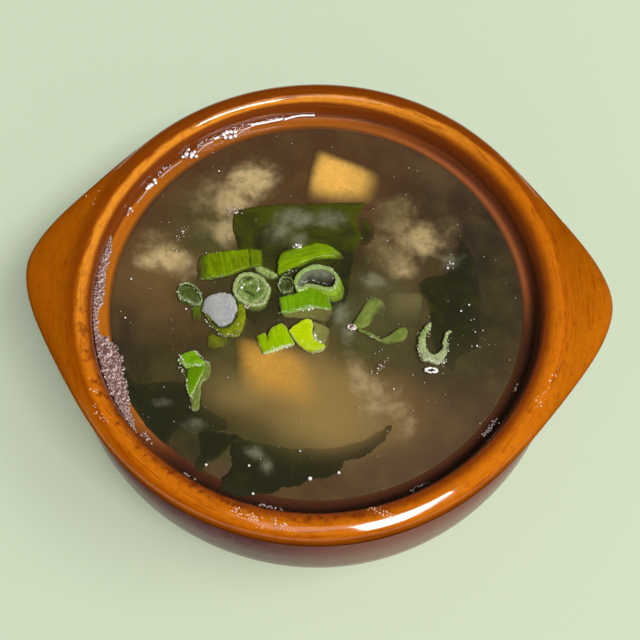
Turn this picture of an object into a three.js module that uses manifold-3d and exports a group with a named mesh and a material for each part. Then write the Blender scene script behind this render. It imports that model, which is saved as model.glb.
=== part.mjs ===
// Miso soup in a glazed earthenware bowl with two lugs, and spring onion floating on the soup.
// Millimetres, +Z up, lugs along X. The origin is the middle of the foot, on the table.
import * as THREE from 'three';
import { mergeVertices } from 'three/addons/utils/BufferGeometryUtils.js';
import Module from 'manifold-3d';

const wasm = await Module();
wasm.setup();

const DEG = Math.PI / 180;
const GAP = 0.3;             // clearance between the soup and the bowl
const CUT = 0.45;            // how far the soup stands back from a slice that floats in it

// ---- Driving dimensions of the bowl
const HEIGHT = 54;           // table to rim crest
const CREST_R = 62;          // highest line of the rim
const RIM_R = 65.4;          // outer face of the rim
const BELLY_R = 66.2;        // widest line of the wall
const BELLY_Z = 29;
const NECK_R = 63.4;         // wall just under the rim
const NECK_Z = 45.2;
const FOOT_R = 41;           // outside of the foot ring
const FOOT_WIDTH = 5.5;
const FOOT_Z = 2.8;          // height of the foot ring
const RECESS_Z = 1.8;        // hollow inside the foot ring
const MOUTH_R = 58.1;        // inner wall between the rim and the lid ledge
const MOUTH_Z = 49.2;        // where the rim's inner round ends
const LEDGE_R = 54;          // inner edge of the lid ledge
const LEDGE_Z = 46.6;
const HOLLOW_R = 56.8;       // widest line of the inside, under the ledge
const HOLLOW_Z = 31;
const FLOOR_R = 30;          // flat floor inside
const FLOOR_Z = 8;
const LUG_REACH = 10.8;      // how far a lug stands out past the rim
const LUG_SPREAD = 12.9 * DEG;
const LUG_POWER = 1.7;       // under 2, so that a lug's flanks run out in a long tail
const LEFT_LEAN = 3.1 * DEG; // the left lug sits this far round towards the back
const TURNS = 72;            // facets around the bowl

// ---- Driving dimensions of the contents
const SOUP_Z = 47.5;         // surface of the soup

const finishes = {
  glaze: { color: 0xb25a10, roughness: 0.18, metalness: 0 },
  broth: { color: 0x5a4c38, roughness: 0.1, metalness: 0 },
  green: { color: 0x5fae14, roughness: 0.35, metalness: 0 },
  yellowGreen: { color: 0x9cc41f, roughness: 0.35, metalness: 0 },
  pale: { color: 0xb6c99a, roughness: 0.3, metalness: 0 },
  white: { color: 0xd3cfdd, roughness: 0.4, metalness: 0 },
};

function namedMesh(name, geometry, finish) {
  const mesh = new THREE.Mesh(geometry, new THREE.MeshStandardMaterial(finishes[finish]));
  mesh.name = name;
  return mesh;
}

// Points of an elliptic arc in a profile, both ends included. Angles are in degrees from +r to +z.
function profileArc(centreR, centreZ, halfR, halfZ, from, to, steps) {
  return Array.from({ length: steps + 1 }, (_, i) => {
    const angle = (from + ((to - from) * i) / steps) * DEG;
    return [centreR + halfR * Math.cos(angle), centreZ + halfZ * Math.sin(angle)];
  });
}

// ---- Bowl

function footAndWall() {
  const wallStart = 75;      // degrees round the lower curve, where it meets the foot
  const lower = profileArc(FOOT_R - 5, BELLY_Z, BELLY_R - FOOT_R + 5, BELLY_Z - FOOT_Z, -wallStart, 0, 5);
  const upperSteps = 3;
  const upper = Array.from({ length: upperSteps }, (_, i) => {
    const climb = (i + 1) / (upperSteps + 1);
    return [BELLY_R - (BELLY_R - NECK_R) * climb ** 2, BELLY_Z + (NECK_Z - BELLY_Z) * climb];
  });
  return [
    [0, RECESS_Z],
    [FOOT_R - FOOT_WIDTH - RECESS_Z, RECESS_Z],
    [FOOT_R - FOOT_WIDTH, 0],
    [FOOT_R - 1, 0],
    [FOOT_R, 1],
    ...lower,
    ...upper,
  ];
}

// Outer half of the rim: radius and height, then how far the lug carries that line out and up.
function rimStations() {
  return [
    [NECK_R, NECK_Z, 0.4, -0.6],
    [RIM_R - 0.7, NECK_Z + 1, 2.4, 0.2],
    [RIM_R - 0.1, NECK_Z + 2, 7, 1.2],
    [RIM_R, HEIGHT - 5.6, LUG_REACH - 0.9, 0.9],
    [RIM_R, HEIGHT - 4.2, LUG_REACH, 0.9],
    [RIM_R - 0.1, HEIGHT - 3.5, LUG_REACH - 0.3, 1.1],
    [RIM_R - 0.3, HEIGHT - 2.9, LUG_REACH - 1.4, 1.4],
    [RIM_R - 0.7, HEIGHT - 2, 5, 0.8],
    [RIM_R - 1.1, HEIGHT - 1.2, 1, -0.5],
    [RIM_R - 2, HEIGHT - 0.5, 0.6, -0.3],
    [CREST_R, HEIGHT, 0, 0],
  ];
}

// The inside from the ledge to the middle of the floor, moved in by a clearance.
function hollowProfile(clearance) {
  const curve = profileArc(FLOOR_R, HOLLOW_Z, HOLLOW_R - FLOOR_R, HOLLOW_Z - FLOOR_Z, 0, -90, 4);
  return [
    [MOUTH_R, LEDGE_Z + 0.6],
    [MOUTH_R - 0.6, LEDGE_Z],
    [LEDGE_R, LEDGE_Z],
    [LEDGE_R - 0.1, LEDGE_Z - 1.2],
    [(LEDGE_R + HOLLOW_R) / 2 + 0.5, (LEDGE_Z + HOLLOW_Z) / 2],
    ...curve,
    [0, FLOOR_Z],
  ].map(([r, z]) => [Math.max(0, r - clearance), z + clearance]);
}

function makeBowl() {
  const roundIn = profileArc(CREST_R, MOUTH_Z, CREST_R - MOUTH_R, HEIGHT - MOUTH_Z, 90, 180, 4);
  const stations = [...footAndWall(), ...rimStations(), ...roundIn.slice(1), ...hollowProfile(0)];
  const profile = stations.map(([r, z]) => new THREE.Vector2(r, z));
  const geometry = new THREE.LatheGeometry(profile, TURNS).rotateX(90 * DEG);
  const position = geometry.attributes.position;
  for (let i = 0; i < position.count; i += 1) {
    const [, , reach = 0, rise = 0] = stations[i % stations.length];
    const x = position.getX(i);
    const y = position.getY(i);
    const lean = x < 0 ? LEFT_LEAN : 0;
    const away = Math.abs(Math.atan2(y, Math.abs(x)) - lean);
    const bell = Math.exp(-0.5 * (away / LUG_SPREAD) ** LUG_POWER);
    const radius = Math.hypot(x, y);
    const scale = radius > 0 ? 1 + (reach * bell) / radius : 1;
    position.setXYZ(i, x * scale, y * scale, position.getZ(i) + rise * bell);
  }
  return namedMesh('bowl', geometry, 'glaze');
}

// ---- Spring onion

// The middle line of a slice's cut face: a line through points, a shallow arch that spans
// 2 * half and stands `rise` high, or an ellipse of which `arc` gives the part in degrees.
function cutLine({ through, arch, half, rise, arc = [0, 360] }) {
  if (through) return new THREE.SplineCurve(through.map(([x, y]) => new THREE.Vector2(x, y)));
  if (arch) {
    const radius = (half ** 2 + rise ** 2) / (2 * rise);
    const foot = Math.asin((radius - rise) / radius);
    return new THREE.EllipseCurve(0, rise - radius, radius, radius, foot, Math.PI - foot);
  }
  return new THREE.EllipseCurve(0, 0, half, rise, arc[0] * DEG, arc[1] * DEG);
}

// A slice of hollow leaf. Its cut face lies on the local XY plane and its leaf axis along local Z.
// `taper` narrows it towards +X and `flare` opens it towards its top.
function sliceGeometry(slice, clearance) {
  const whole = !slice.through && !slice.arch && !slice.arc;
  const course = cutLine(slice);
  const steps = slice.steps ?? 9;
  const reach = slice.wall / 2 + clearance;
  const outer = [];
  const inner = [];
  for (let i = 0; i <= steps; i += 1) {
    const t = i / steps;
    const middle = course.getPoint(t);
    const along = course.getTangent(t);
    const extend = whole ? 0 : clearance * ((i === steps) - (i === 0));
    middle.addScaledVector(along, extend);
    outer.push(new THREE.Vector2(middle.x + along.y * reach, middle.y - along.x * reach));
    inner.push(new THREE.Vector2(middle.x - along.y * reach, middle.y + along.x * reach));
  }
  let shape;
  if (slice.solid) {
    shape = new THREE.Shape(outer.slice(0, -1));
  } else if (whole) {
    shape = new THREE.Shape(outer.slice(0, -1));
    shape.holes.push(new THREE.Path(inner.slice(0, -1)));
  } else {
    shape = new THREE.Shape([...outer, ...inner.reverse()]);
  }
  const depth = slice.length + 2 * clearance;
  const geometry = new THREE.ExtrudeGeometry(shape, { depth, bevelEnabled: false });
  geometry.translate(0, 0, -depth / 2);
  const position = geometry.attributes.position;
  const span = slice.half ?? 1;
  for (let i = 0; i < position.count; i += 1) {
    const x = position.getX(i);
    const y = position.getY(i);
    const z = position.getZ(i);
    const narrowing = 1 - (slice.taper ?? 0) * (0.5 + (0.5 * x) / span);
    const opening = 1 + (slice.flare ?? 0) * z;
    const cutFace = Math.sign(z) * (slice.length / 2);
    position.setXYZ(i, x * opening, y * opening, z + cutFace * (narrowing - 1));
  }
  return geometry;
}

// A thin bit of inner skin, a lens with three different half-sizes.
function sliverGeometry(slice, clearance) {
  const edge = 0.15;
  const lens = [
    [0, -1], [0.6, -0.8], [1, -edge], [1, edge], [0.6, 0.8], [0, 1],
  ].map(([r, z]) => new THREE.Vector2(r, z));
  const geometry = new THREE.LatheGeometry(lens, 14).rotateX(90 * DEG);
  const [x, y, z] = slice.halfSizes.map((size) => size + clearance);
  return geometry.scale(x, y, z);
}

// Each slice: where it floats, how high its middle is above the soup, the tilt of its leaf axis
// from upright towards the front, and its heading about the vertical.
const slices = [
  { name: 'spring_onion_01_arch', finish: 'green', at: [-23.4, 7.9], lift: -1.15, tilt: 90, heading: 16,
    half: 7.9, rise: 2.6, arch: true, wall: 0.9, length: 6.4 },
  { name: 'spring_onion_02_sliver', finish: 'pale', at: [-12.6, 6.6], lift: 0.1, tilt: 0, heading: -22,
    halfSizes: [2.6, 1.4, 0.5] },
  { name: 'spring_onion_03_ring', finish: 'pale', at: [-17.2, 0.5], lift: -1.4, tilt: 12, heading: -10,
    half: 4.2, rise: 3.7, wall: 1.2, length: 5, steps: 15 },
  { name: 'spring_onion_04_ring', finish: 'green', at: [-33.4, -1.4], lift: -0.9, tilt: 30, heading: -25,
    half: 2.8, rise: 2.6, wall: 0.5, length: 2.6, steps: 14 },
  { name: 'spring_onion_05_core', finish: 'white', at: [-24.9, -5.1], lift: -1.6, tilt: 14, heading: -10,
    half: 3.6, rise: 3.5, wall: 1.6, length: 5, solid: true, steps: 15 },
  { name: 'spring_onion_05_sheath', finish: 'yellowGreen', at: [-24.2, -6.2], lift: -2.1, tilt: 14,
    heading: -10, half: 6.1, rise: 6.1, arc: [-165, 10], wall: 0.9, length: 4.4, steps: 8 },
  { name: 'spring_onion_06_crescent', finish: 'green', at: [-1.7, 8.6], lift: -0.2, tilt: 12, heading: 8,
    half: 6.8, rise: 5.2, arc: [0, 180], wall: 4, length: 0.9 },
  { name: 'spring_onion_07_ring', finish: 'green', at: [-0.4, 4.3], lift: -1.2, tilt: 10, heading: 0,
    half: 5.4, rise: 3.2, wall: 0.8, length: 5.2, steps: 18 },
  { name: 'spring_onion_08_ring', finish: 'green', at: [-9.1, 2.4], lift: -0.6, tilt: 15, heading: 20,
    half: 1.7, rise: 2.2, wall: 0.4, length: 2.6, steps: 12 },
  { name: 'spring_onion_09_arch', finish: 'green', at: [-2.9, -2.7], lift: -1.1, tilt: 90, heading: 4,
    half: 6.7, rise: 2.4, arch: true, wall: 1.2, length: 4.5 },
  { name: 'spring_onion_10_arch', finish: 'yellowGreen', at: [-10.3, -12.6], lift: -0.6, tilt: 90,
    heading: 17, half: 4.2, rise: 1.9, arch: true, wall: 1, length: 4.6 },
  { name: 'spring_onion_11_tube', finish: 'yellowGreen', at: [-0.6, -11.4], lift: -2.3, tilt: 62,
    heading: 97, half: 3.5, rise: 2.9, wall: 0.9, length: 6, steps: 15 },
  { name: 'spring_onion_12_curl', finish: 'green', at: [-29.8, -25.8], lift: -0.3, tilt: 90, heading: -82,
    half: 7.5, rise: 1.6, arch: true, wall: 0.8, length: 6, taper: 0.55 },
  { name: 'spring_onion_13_strip', finish: 'pale', at: [14.6, -6.6], lift: -0.7, tilt: 0, heading: 0,
    through: [[0.6, 6.6], [-2.4, 2], [-4.4, -2], [0.8, -4.8], [7.6, -3]], wall: 0.8, length: 3,
    flare: 0.08, steps: 9 },
  { name: 'spring_onion_14_open_ring', finish: 'pale', at: [30.6, -12.6], lift: -0.5, tilt: 6, heading: 0,
    half: 3.4, rise: 4.6, arc: [-232, 52], wall: 1.3, length: 3, steps: 12 },
];

function makeSlice(slice, clearance = 0) {
  const build = slice.halfSizes ? sliverGeometry : sliceGeometry;
  const mesh = namedMesh(slice.name, build(slice, clearance), slice.finish);
  mesh.position.set(slice.at[0], slice.at[1], SOUP_Z + slice.lift);
  mesh.rotation.set(slice.tilt * DEG, 0, slice.heading * DEG, 'ZYX');
  mesh.updateMatrixWorld();
  return mesh;
}

// ---- Soup

function toSolid(mesh) {
  const placed = mesh.geometry.clone().applyMatrix4(mesh.matrixWorld);
  placed.deleteAttribute('normal');
  placed.deleteAttribute('uv');
  const merged = mergeVertices(placed, 1e-3);
  const corners = merged.index.array;
  const kept = [];
  for (let i = 0; i < corners.length; i += 3) {
    const [a, b, c] = corners.slice(i, i + 3);
    if (a !== b && b !== c && c !== a) kept.push(a, b, c);
  }
  const vertProperties = new Float32Array(merged.attributes.position.array);
  const triVerts = new Uint32Array(kept);
  return new wasm.Manifold(new wasm.Mesh({ numProp: 3, vertProperties, triVerts }));
}

function fromSolid(solid) {
  const mesh = solid.getMesh();
  const geometry = new THREE.BufferGeometry();
  geometry.setAttribute('position', new THREE.BufferAttribute(new Float32Array(mesh.vertProperties), 3));
  geometry.setIndex(Array.from(mesh.triVerts));
  geometry.computeVertexNormals();
  return geometry;
}

// The soup fills the bowl up over the ledge, and is cut round each slice that floats in it.
function makeSoup() {
  const inside = hollowProfile(GAP).reverse().filter(([, z]) => z < SOUP_Z);
  const edgeR = MOUTH_R - GAP;
  const profile = [...inside, [edgeR, SOUP_Z], [0, SOUP_Z]].map(([r, z]) => new THREE.Vector2(r, z));
  const full = new THREE.Mesh(new THREE.LatheGeometry(profile, TURNS).rotateX(90 * DEG));
  let solid = toSolid(full);
  for (const slice of slices) {
    solid = solid.subtract(toSolid(makeSlice(slice, CUT)));
  }
  return namedMesh('soup', fromSolid(solid), 'broth');
}

const group = new THREE.Group();
group.add(makeBowl(), makeSoup(), ...slices.map((slice) => makeSlice(slice)));

export default group;
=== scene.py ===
import math

import bmesh
import bpy
import numpy as np
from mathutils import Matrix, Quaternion, Vector, bvhtree, geometry, kdtree, noise


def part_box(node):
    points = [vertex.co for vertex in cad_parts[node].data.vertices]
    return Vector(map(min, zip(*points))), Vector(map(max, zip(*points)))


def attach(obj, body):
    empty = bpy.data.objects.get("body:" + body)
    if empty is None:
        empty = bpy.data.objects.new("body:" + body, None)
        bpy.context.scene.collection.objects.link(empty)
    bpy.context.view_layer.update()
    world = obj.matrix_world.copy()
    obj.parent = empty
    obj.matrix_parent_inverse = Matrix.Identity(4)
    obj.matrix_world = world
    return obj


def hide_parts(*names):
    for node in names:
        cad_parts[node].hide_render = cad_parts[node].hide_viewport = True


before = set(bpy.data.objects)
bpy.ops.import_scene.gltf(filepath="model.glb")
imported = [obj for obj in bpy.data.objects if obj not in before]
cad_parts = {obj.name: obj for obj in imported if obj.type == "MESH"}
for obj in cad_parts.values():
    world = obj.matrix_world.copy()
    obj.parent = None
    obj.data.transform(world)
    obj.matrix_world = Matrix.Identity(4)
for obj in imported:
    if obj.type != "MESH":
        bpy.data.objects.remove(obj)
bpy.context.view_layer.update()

# ---- Bowl
# A small brown earthenware dish, thrown with a rolled rim, a ledge inside for a lid, and two lugs
# pulled out of the rim by hand. Dipped in honey glaze, whose colour carries painted light and shade:
# a golden band along the crest on the slopes that face the lamps, paler slopes on the near right, and
# dark glaze inside the rim and under its edge on the shaded side. The wall below is glazed plum brown
# and the foot is left bare.
MM = 0.001
bowl_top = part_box("bowl")[1] / MM

CREST_Z = bowl_top.z
BELLY_R = bowl_top.y
LUG_TIP = bowl_top.x
BELLY_Z = 29.0
RIM_R = BELLY_R - 0.8
CREST_R = RIM_R - 3.4
NECK_R = BELLY_R - 2.8
NECK_Z = CREST_Z - 8.8
FOOT_R = 41.0
FOOT_WIDTH = 5.5
FOOT_Z = 2.8
RECESS_Z = 1.8
MOUTH_R = 58.1
LEDGE_R = 54.0
LEDGE_Z = CREST_Z - 7.4
HOLLOW_R = 56.8
HOLLOW_Z = 31.0
FLOOR_R = 30.0
FLOOR_Z = 8.0
LUG_REACH = LUG_TIP - RIM_R
LUG_SPREAD = math.radians(12.9)
LUG_POWER = 1.7
LEFT_LEAN = math.radians(3.1)
WIPE_TURN = -1.11
WIPE_SPREAD = 0.42
WIPE_SLOPE = 0.42


def bend(centre_r, centre_z, half_r, half_z, start, end, steps):
    """Points of an oval bend in a profile, from one angle to another in degrees."""
    turns = np.radians(np.linspace(start, end, steps + 1))
    return [(centre_r + half_r * math.cos(t), centre_z + half_z * math.sin(t)) for t in turns]


def smooth_line(stops, step):
    """Points about a step apart on a smooth line through the stops. A stop given twice is a corner."""
    stops = np.array(stops, float)
    held = np.vstack([2 * stops[0] - stops[1], stops, 2 * stops[-1] - stops[-2]])
    line = []
    for a, b, c, d in zip(held, held[1:], held[2:], held[3:]):
        count = math.ceil(np.linalg.norm((c - b)[:2]) / step)
        for i in range(count):
            t = i / count
            line.append(
                b
                + t * (c - a) / 2
                + t**2 * (a - 2.5 * b + 2 * c - d / 2)
                + t**3 * (1.5 * (b - c) + (d - a) / 2)
            )
    line.append(stops[-1])
    return np.array(line)


def lathe(profile, around):
    """Points and faces of a turned body. The profile's first and last stops are on the axis."""
    turns = np.linspace(0, 2 * math.pi, around, endpoint=False)
    rings = np.array([[(r * math.cos(t), r * math.sin(t), z) for t in turns] for r, z in profile[1:-1]])
    points = np.vstack([rings.reshape(-1, 3), (0, 0, profile[0][1]), (0, 0, profile[-1][1])])
    foot, top = len(points) - 2, len(points) - 1
    last = (len(rings) - 1) * around
    faces = []
    for i in range(around):
        j = (i + 1) % around
        faces += [(k + i, k + j, k + around + j, k + around + i) for k in range(0, last, around)]
        faces += [(foot, j, i), (top, last + i, last + j)]
    return points, faces


def make_piece(name, points, faces, material, slot, **marks):
    """A smooth mesh in the bowl's own frame. Marks are numbers or colours kept at each point."""
    mesh = bpy.data.meshes.new(name)
    mesh.from_pydata((np.asarray(points) * MM).tolist(), [], faces)
    for mark, values in marks.items():
        values = np.asarray(values, np.float32)
        kind, field = ("FLOAT", "value") if values.ndim == 1 else ("FLOAT_COLOR", "color")
        mesh.attributes.new(mark, kind, "POINT").data.foreach_set(field, values.ravel())
    mesh.shade_smooth()
    mesh.materials.append(material)
    piece = bpy.data.objects.new(name, mesh)
    bpy.context.scene.collection.objects.link(piece)
    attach(piece, "root")
    return piece


def colour(red, green, blue):
    """A colour from the numbers 0 to 255 of a colour card, in linear light."""
    card = np.array([red, green, blue]) / 255
    linear = np.where(card > 0.04045, ((card + 0.055) / 1.055) ** 2.4, card / 12.92)
    return (*linear.tolist(), 1.0)


class Wire:
    """A socket in a finish. Sums on wires add their Math nodes, and node() adds any other."""

    def __init__(self, tree, socket=None):
        self.tree = tree
        self.socket = socket

    def node(self, kind, settings, sockets, output=0):
        made = self.tree.nodes.new("ShaderNode" + kind)
        for key, value in settings.items():
            setattr(made, key, value)
        for key, value in sockets.items():
            if isinstance(value, Wire):
                self.tree.links.new(value.socket, made.inputs[key])
            else:
                made.inputs[key].default_value = value
        return Wire(self.tree, made.outputs[output])

    def sum(self, operation, first, second):
        return self.node("Math", {"operation": operation}, {0: first, 1: second})

    def __add__(self, other):
        return self.sum("ADD", self, other)

    def __sub__(self, other):
        return self.sum("SUBTRACT", self, other)

    def __mul__(self, other):
        return self.sum("MULTIPLY", self, other)

    def __truediv__(self, other):
        return self.sum("DIVIDE", self, other)

    def __pow__(self, other):
        return self.sum("POWER", self, other)

    def __rsub__(self, other):
        return self.sum("SUBTRACT", other, self)

    def between(self, low, high):
        """0 up to low and 1 from high on, with an eased slope between."""
        sockets = {"Value": self, "From Min": low, "From Max": high}
        return self.node("MapRange", {"interpolation_type": "SMOOTHSTEP"}, sockets)

    def blend(self, low, high):
        """The colour that goes from low to high as this value goes from 0 to 1."""
        return self.node("Mix", {"data_type": "RGBA"}, {0: self, 6: low, 7: high}, 2)

    def mark(self, name, output=2):
        """What a piece keeps at its points under that name: output 2 is a number and 0 a colour."""
        return self.node("Attribute", {"attribute_name": name}, {}, output)

    def place(self):
        """Where a point is in the bowl's frame, in millimetres."""
        metres = self.node("TexCoord", {}, {}, 3)
        return self.node("VectorMath", {"operation": "SCALE"}, {0: metres, 3: 1 / MM})

    def axes(self):
        """The x, y and z of this vector."""
        split = self.node("SeparateXYZ", {}, {0: self}).socket.node
        return [Wire(self.tree, socket) for socket in split.outputs]

    def stretched(self, x, y, z):
        """This vector with each axis scaled."""
        return self.node("VectorMath", {"operation": "MULTIPLY"}, {0: self, 1: (x, y, z)})

    def grain(self, scale, detail=3.0, rough=0.55, warp=0.0):
        """Noise from 0 to 1 over this vector."""
        sockets = {"Vector": self, "Scale": scale, "Detail": detail, "Roughness": rough, "Distortion": warp}
        return self.node("TexNoise", {}, sockets)

    def relief(self, depth):
        """A normal raised by this value, which stands for that many millimetres."""
        return self.node("Bump", {}, {"Strength": 1.0, "Distance": depth * MM, "Height": self})

    def glossy(self, sockets):
        """A Principled shader with those sockets."""
        return self.node("BsdfPrincipled", {}, sockets)


def new_finish(name):
    """An empty material and the wire that its first nodes start from."""
    material = bpy.data.materials.new(name)
    material.use_nodes = True
    material.node_tree.nodes.clear()
    return material, Wire(material.node_tree)


def show(material, shader):
    """Ends a finish with that shader."""
    output = material.node_tree.nodes.new("ShaderNodeOutputMaterial")
    material.node_tree.links.new(shader.socket, output.inputs["Surface"])
    return material


def rim_tone(place, radius, pools, mottle):
    """Honey glaze over the rolled rim and the lugs, with painted light: a golden band along the crest on
    the slopes that face the lamps.
    """
    x, y, _ = place.axes()
    streak = place.node("CombineXYZ", {}, {0: x / radius * 9, 1: y / radius * 9, 2: radius * 1.5})
    streak = streak.grain(1.0, 4, 0.65, 0.6)
    # painted light: which way the rim faces the lamps, from -1 on the far left to 1 on the near right
    lit_side = (x * 0.5 - y * 0.87) / radius
    near_right = lit_side.between(-0.9, 0.9)
    # painted light and shade: the inner slope darker and the outer slope paler on the near right, which
    # faces the lamps
    inner = near_right.blend(colour(152, 76, 2), colour(146, 64, 12))
    # painted highlight: the golden band along the crest, brighter on the far left
    lit_crest = ((y - x * 0.6) / radius).between(-0.1, 0.8).blend(colour(204, 110, 14), colour(226, 140, 40))
    outer = near_right.blend(colour(138, 64, 3), colour(172, 84, 3))
    # painted light: the lugs paler towards the near right
    lug = ((x * 0.35 - y) / radius).between(0.0, 0.7).blend(colour(168, 88, 3), colour(206, 112, 12))
    sideways = (x * x / (radius * radius)).between(0.4, 0.75)
    outer = (radius.between(RIM_R - 3, RIM_R + 0.5) * sideways).blend(outer, lug)
    # painted shade: the outer slope darker on the far side, away from the lamps
    far = (y / radius).between(0.25, 0.85) * radius.between(RIM_R + 6.6, RIM_R + 0.6)
    outer = far.blend(outer, colour(128, 60, 8))
    wander = radius + (pools - 0.5) * 0.8 + (streak - 0.5) * 1.2
    # the golden band of painted light moves onto whichever slope of the crest faces the lamps
    climb = ((wander - (MOUTH_R + 0.6) - lit_side * 0.5) / (lit_side * 0.9 + 1.8)).between(0.0, 1.0)
    fall = ((wander - (CREST_R - 0.5) - lit_side * 1.9) / (lit_side * 0.4 + 1.5)).between(0.0, 1.0)
    honey = climb.blend(inner, fall.blend(lit_crest, outer))
    honey = (streak.between(0.5, 0.68) * 0.5).blend(honey, colour(126, 48, 2))
    honey = (mottle.between(0.45, 0.75) * 0.25).blend(honey, colour(112, 44, 2))
    rust = place.grain(0.5, 4, 0.6).between(0.46, 0.66) * radius.between(CREST_R + 0.4, CREST_R - 1.8)
    rust = rust * (x / radius).between(0.8, -0.1) * (y / radius).between(0.3, -0.4)
    return (rust * 0.75).blend(honey, colour(98, 30, 6))


def ledge_tone(place, radius, mottle, honey):
    """The same glaze down the inside of the rim and over the ledge, with painted light and shade: amber
    where the lamps fall on the left and far side, painted shade on the near right and under the rim.
    """
    x, y, z = place.axes()
    lamp_facing = (y * 0.6 - x * 0.8) / radius
    lit = (y * 0.8 - x * 0.35) / radius
    drop = radius.between(CREST_R - 3.0, CREST_R - 3.6) * z.between(LEDGE_Z, LEDGE_Z + 0.6)
    # painted shade: the inside of the rim darker on the near right, away from the lamps
    honey = drop.blend(honey, lit.between(-0.6, 0.0).blend(colour(88, 38, 20), colour(122, 55, 12)))
    # painted shadow of the rim over the ledge, darkest next to the wall
    rim_shadow = radius.between(LEDGE_R + 0.6, MOUTH_R - 1.2)
    shade = rim_shadow.blend(colour(84, 38, 30), colour(46, 19, 17))
    shade = lit.between(-0.5, -0.2).blend(shade, rim_shadow.blend(colour(200, 114, 64), colour(112, 54, 34)))
    # painted light: the ledge amber where the lamps reach it, on the left and far side
    shelf = lamp_facing.between(-0.1, 0.7).blend(shade, colour(196, 110, 24))
    shelf = (x / radius).between(-0.6, -1.0).blend(shelf, colour(224, 130, 22))
    shelf = (radius.between(LEDGE_R + 1.1, LEDGE_R + 0.2) * 0.75).blend(shelf, colour(98, 62, 36))
    shelf = (mottle.between(0.3, 0.7) * 0.15).blend(shelf, colour(120, 60, 16))
    ledge = radius.between(MOUTH_R - 0.1, MOUTH_R - 0.9) * z.between(LEDGE_Z - 1.5, LEDGE_Z - 0.5)
    return ledge.blend(honey, shelf)


def rim_edge_shade(z, radius, honey):
    """Painted shade on the glaze round the rim's outer edge and under it, where the rim turns away from the
    light.
    """
    edge = z.between(CREST_Z - 0.8, CREST_Z - 3.2) * radius.between(CREST_R, CREST_R + 1)
    honey = (edge * 0.65).blend(honey, colour(92, 40, 4))
    under = z.between(CREST_Z - 3.6, CREST_Z - 5.4) * radius.between(CREST_R - 2, CREST_R)
    return (under * 0.8).blend(honey, colour(72, 32, 6))


def plum_tone(place, radius, mottle):
    """The dull plum brown glaze of the wall, with painted light making it paler on the near right, towards
    the lamps.
    """
    x, y, _ = place.axes()
    plum = mottle.between(0.3, 0.7).blend(colour(82, 50, 50), colour(96, 62, 60))
    # painted light: paler on the near right, where the lamps are
    return (((x * 0.64 - y * 0.77) / radius).between(0.6, 1.0) * 0.7).blend(plum, colour(132, 92, 78))


def glaze_finish():
    material, wire = new_finish("honey_glaze")
    place = wire.place()
    x, y, z = place.axes()
    radius = (x * x + y * y) ** 0.5
    pools = place.grain(0.09, 3, 0.5, 0.6)
    mottle = place.grain(0.45, 5, 0.62, 0.3)
    fleck = place.grain(2.4, 3, 0.7)
    honey = ledge_tone(place, radius, mottle, rim_tone(place, radius, pools, mottle))
    honey = (fleck.between(0.66, 0.74) * 0.35).blend(honey, colour(70, 26, 2))
    dipped = (z + (mottle - 0.5) * 1.6).between(NECK_Z + 0.8, NECK_Z - 0.4)
    dipped = dipped * radius.between(CREST_R - 4.5, CREST_R - 2)
    glazed = dipped.blend(rim_edge_shade(z, radius, honey), plum_tone(place, radius, mottle))
    bare = (z + (pools - 0.5) * 2.0).between(FOOT_Z + 0.8, FOOT_Z + 0.3)
    clay = fleck.between(0.35, 0.65).blend(colour(150, 104, 74), colour(186, 140, 106))
    matt = z.between(CREST_Z - 1.1, CREST_Z - 2.2) * z.between(BELLY_Z + 5, BELLY_Z + 13)
    matt = matt * radius.between(CREST_R - 2, CREST_R)
    ripple = place.grain(0.17, 2, 0.4) * 5.0 + place.grain(0.42, 2, 0.5) * 2.2
    relief = ripple + mottle * 0.5 + fleck * (bare * 2.0 + 0.12)
    return show(material, wire.glossy({
        "Base Color": bare.blend(glazed, clay),
        "Roughness": pools * 0.1 + 0.2 + (bare + matt) * 0.6,
        "Specular IOR Level": 0.0,
        "Coat Weight": (1.0 - bare) * (1.0 - matt) * (1.0 - dipped * 0.4),
        "Coat Roughness": 0.06,
        "Coat IOR": 1.6,
        "Normal": relief.relief(0.09),
    }))


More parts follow.
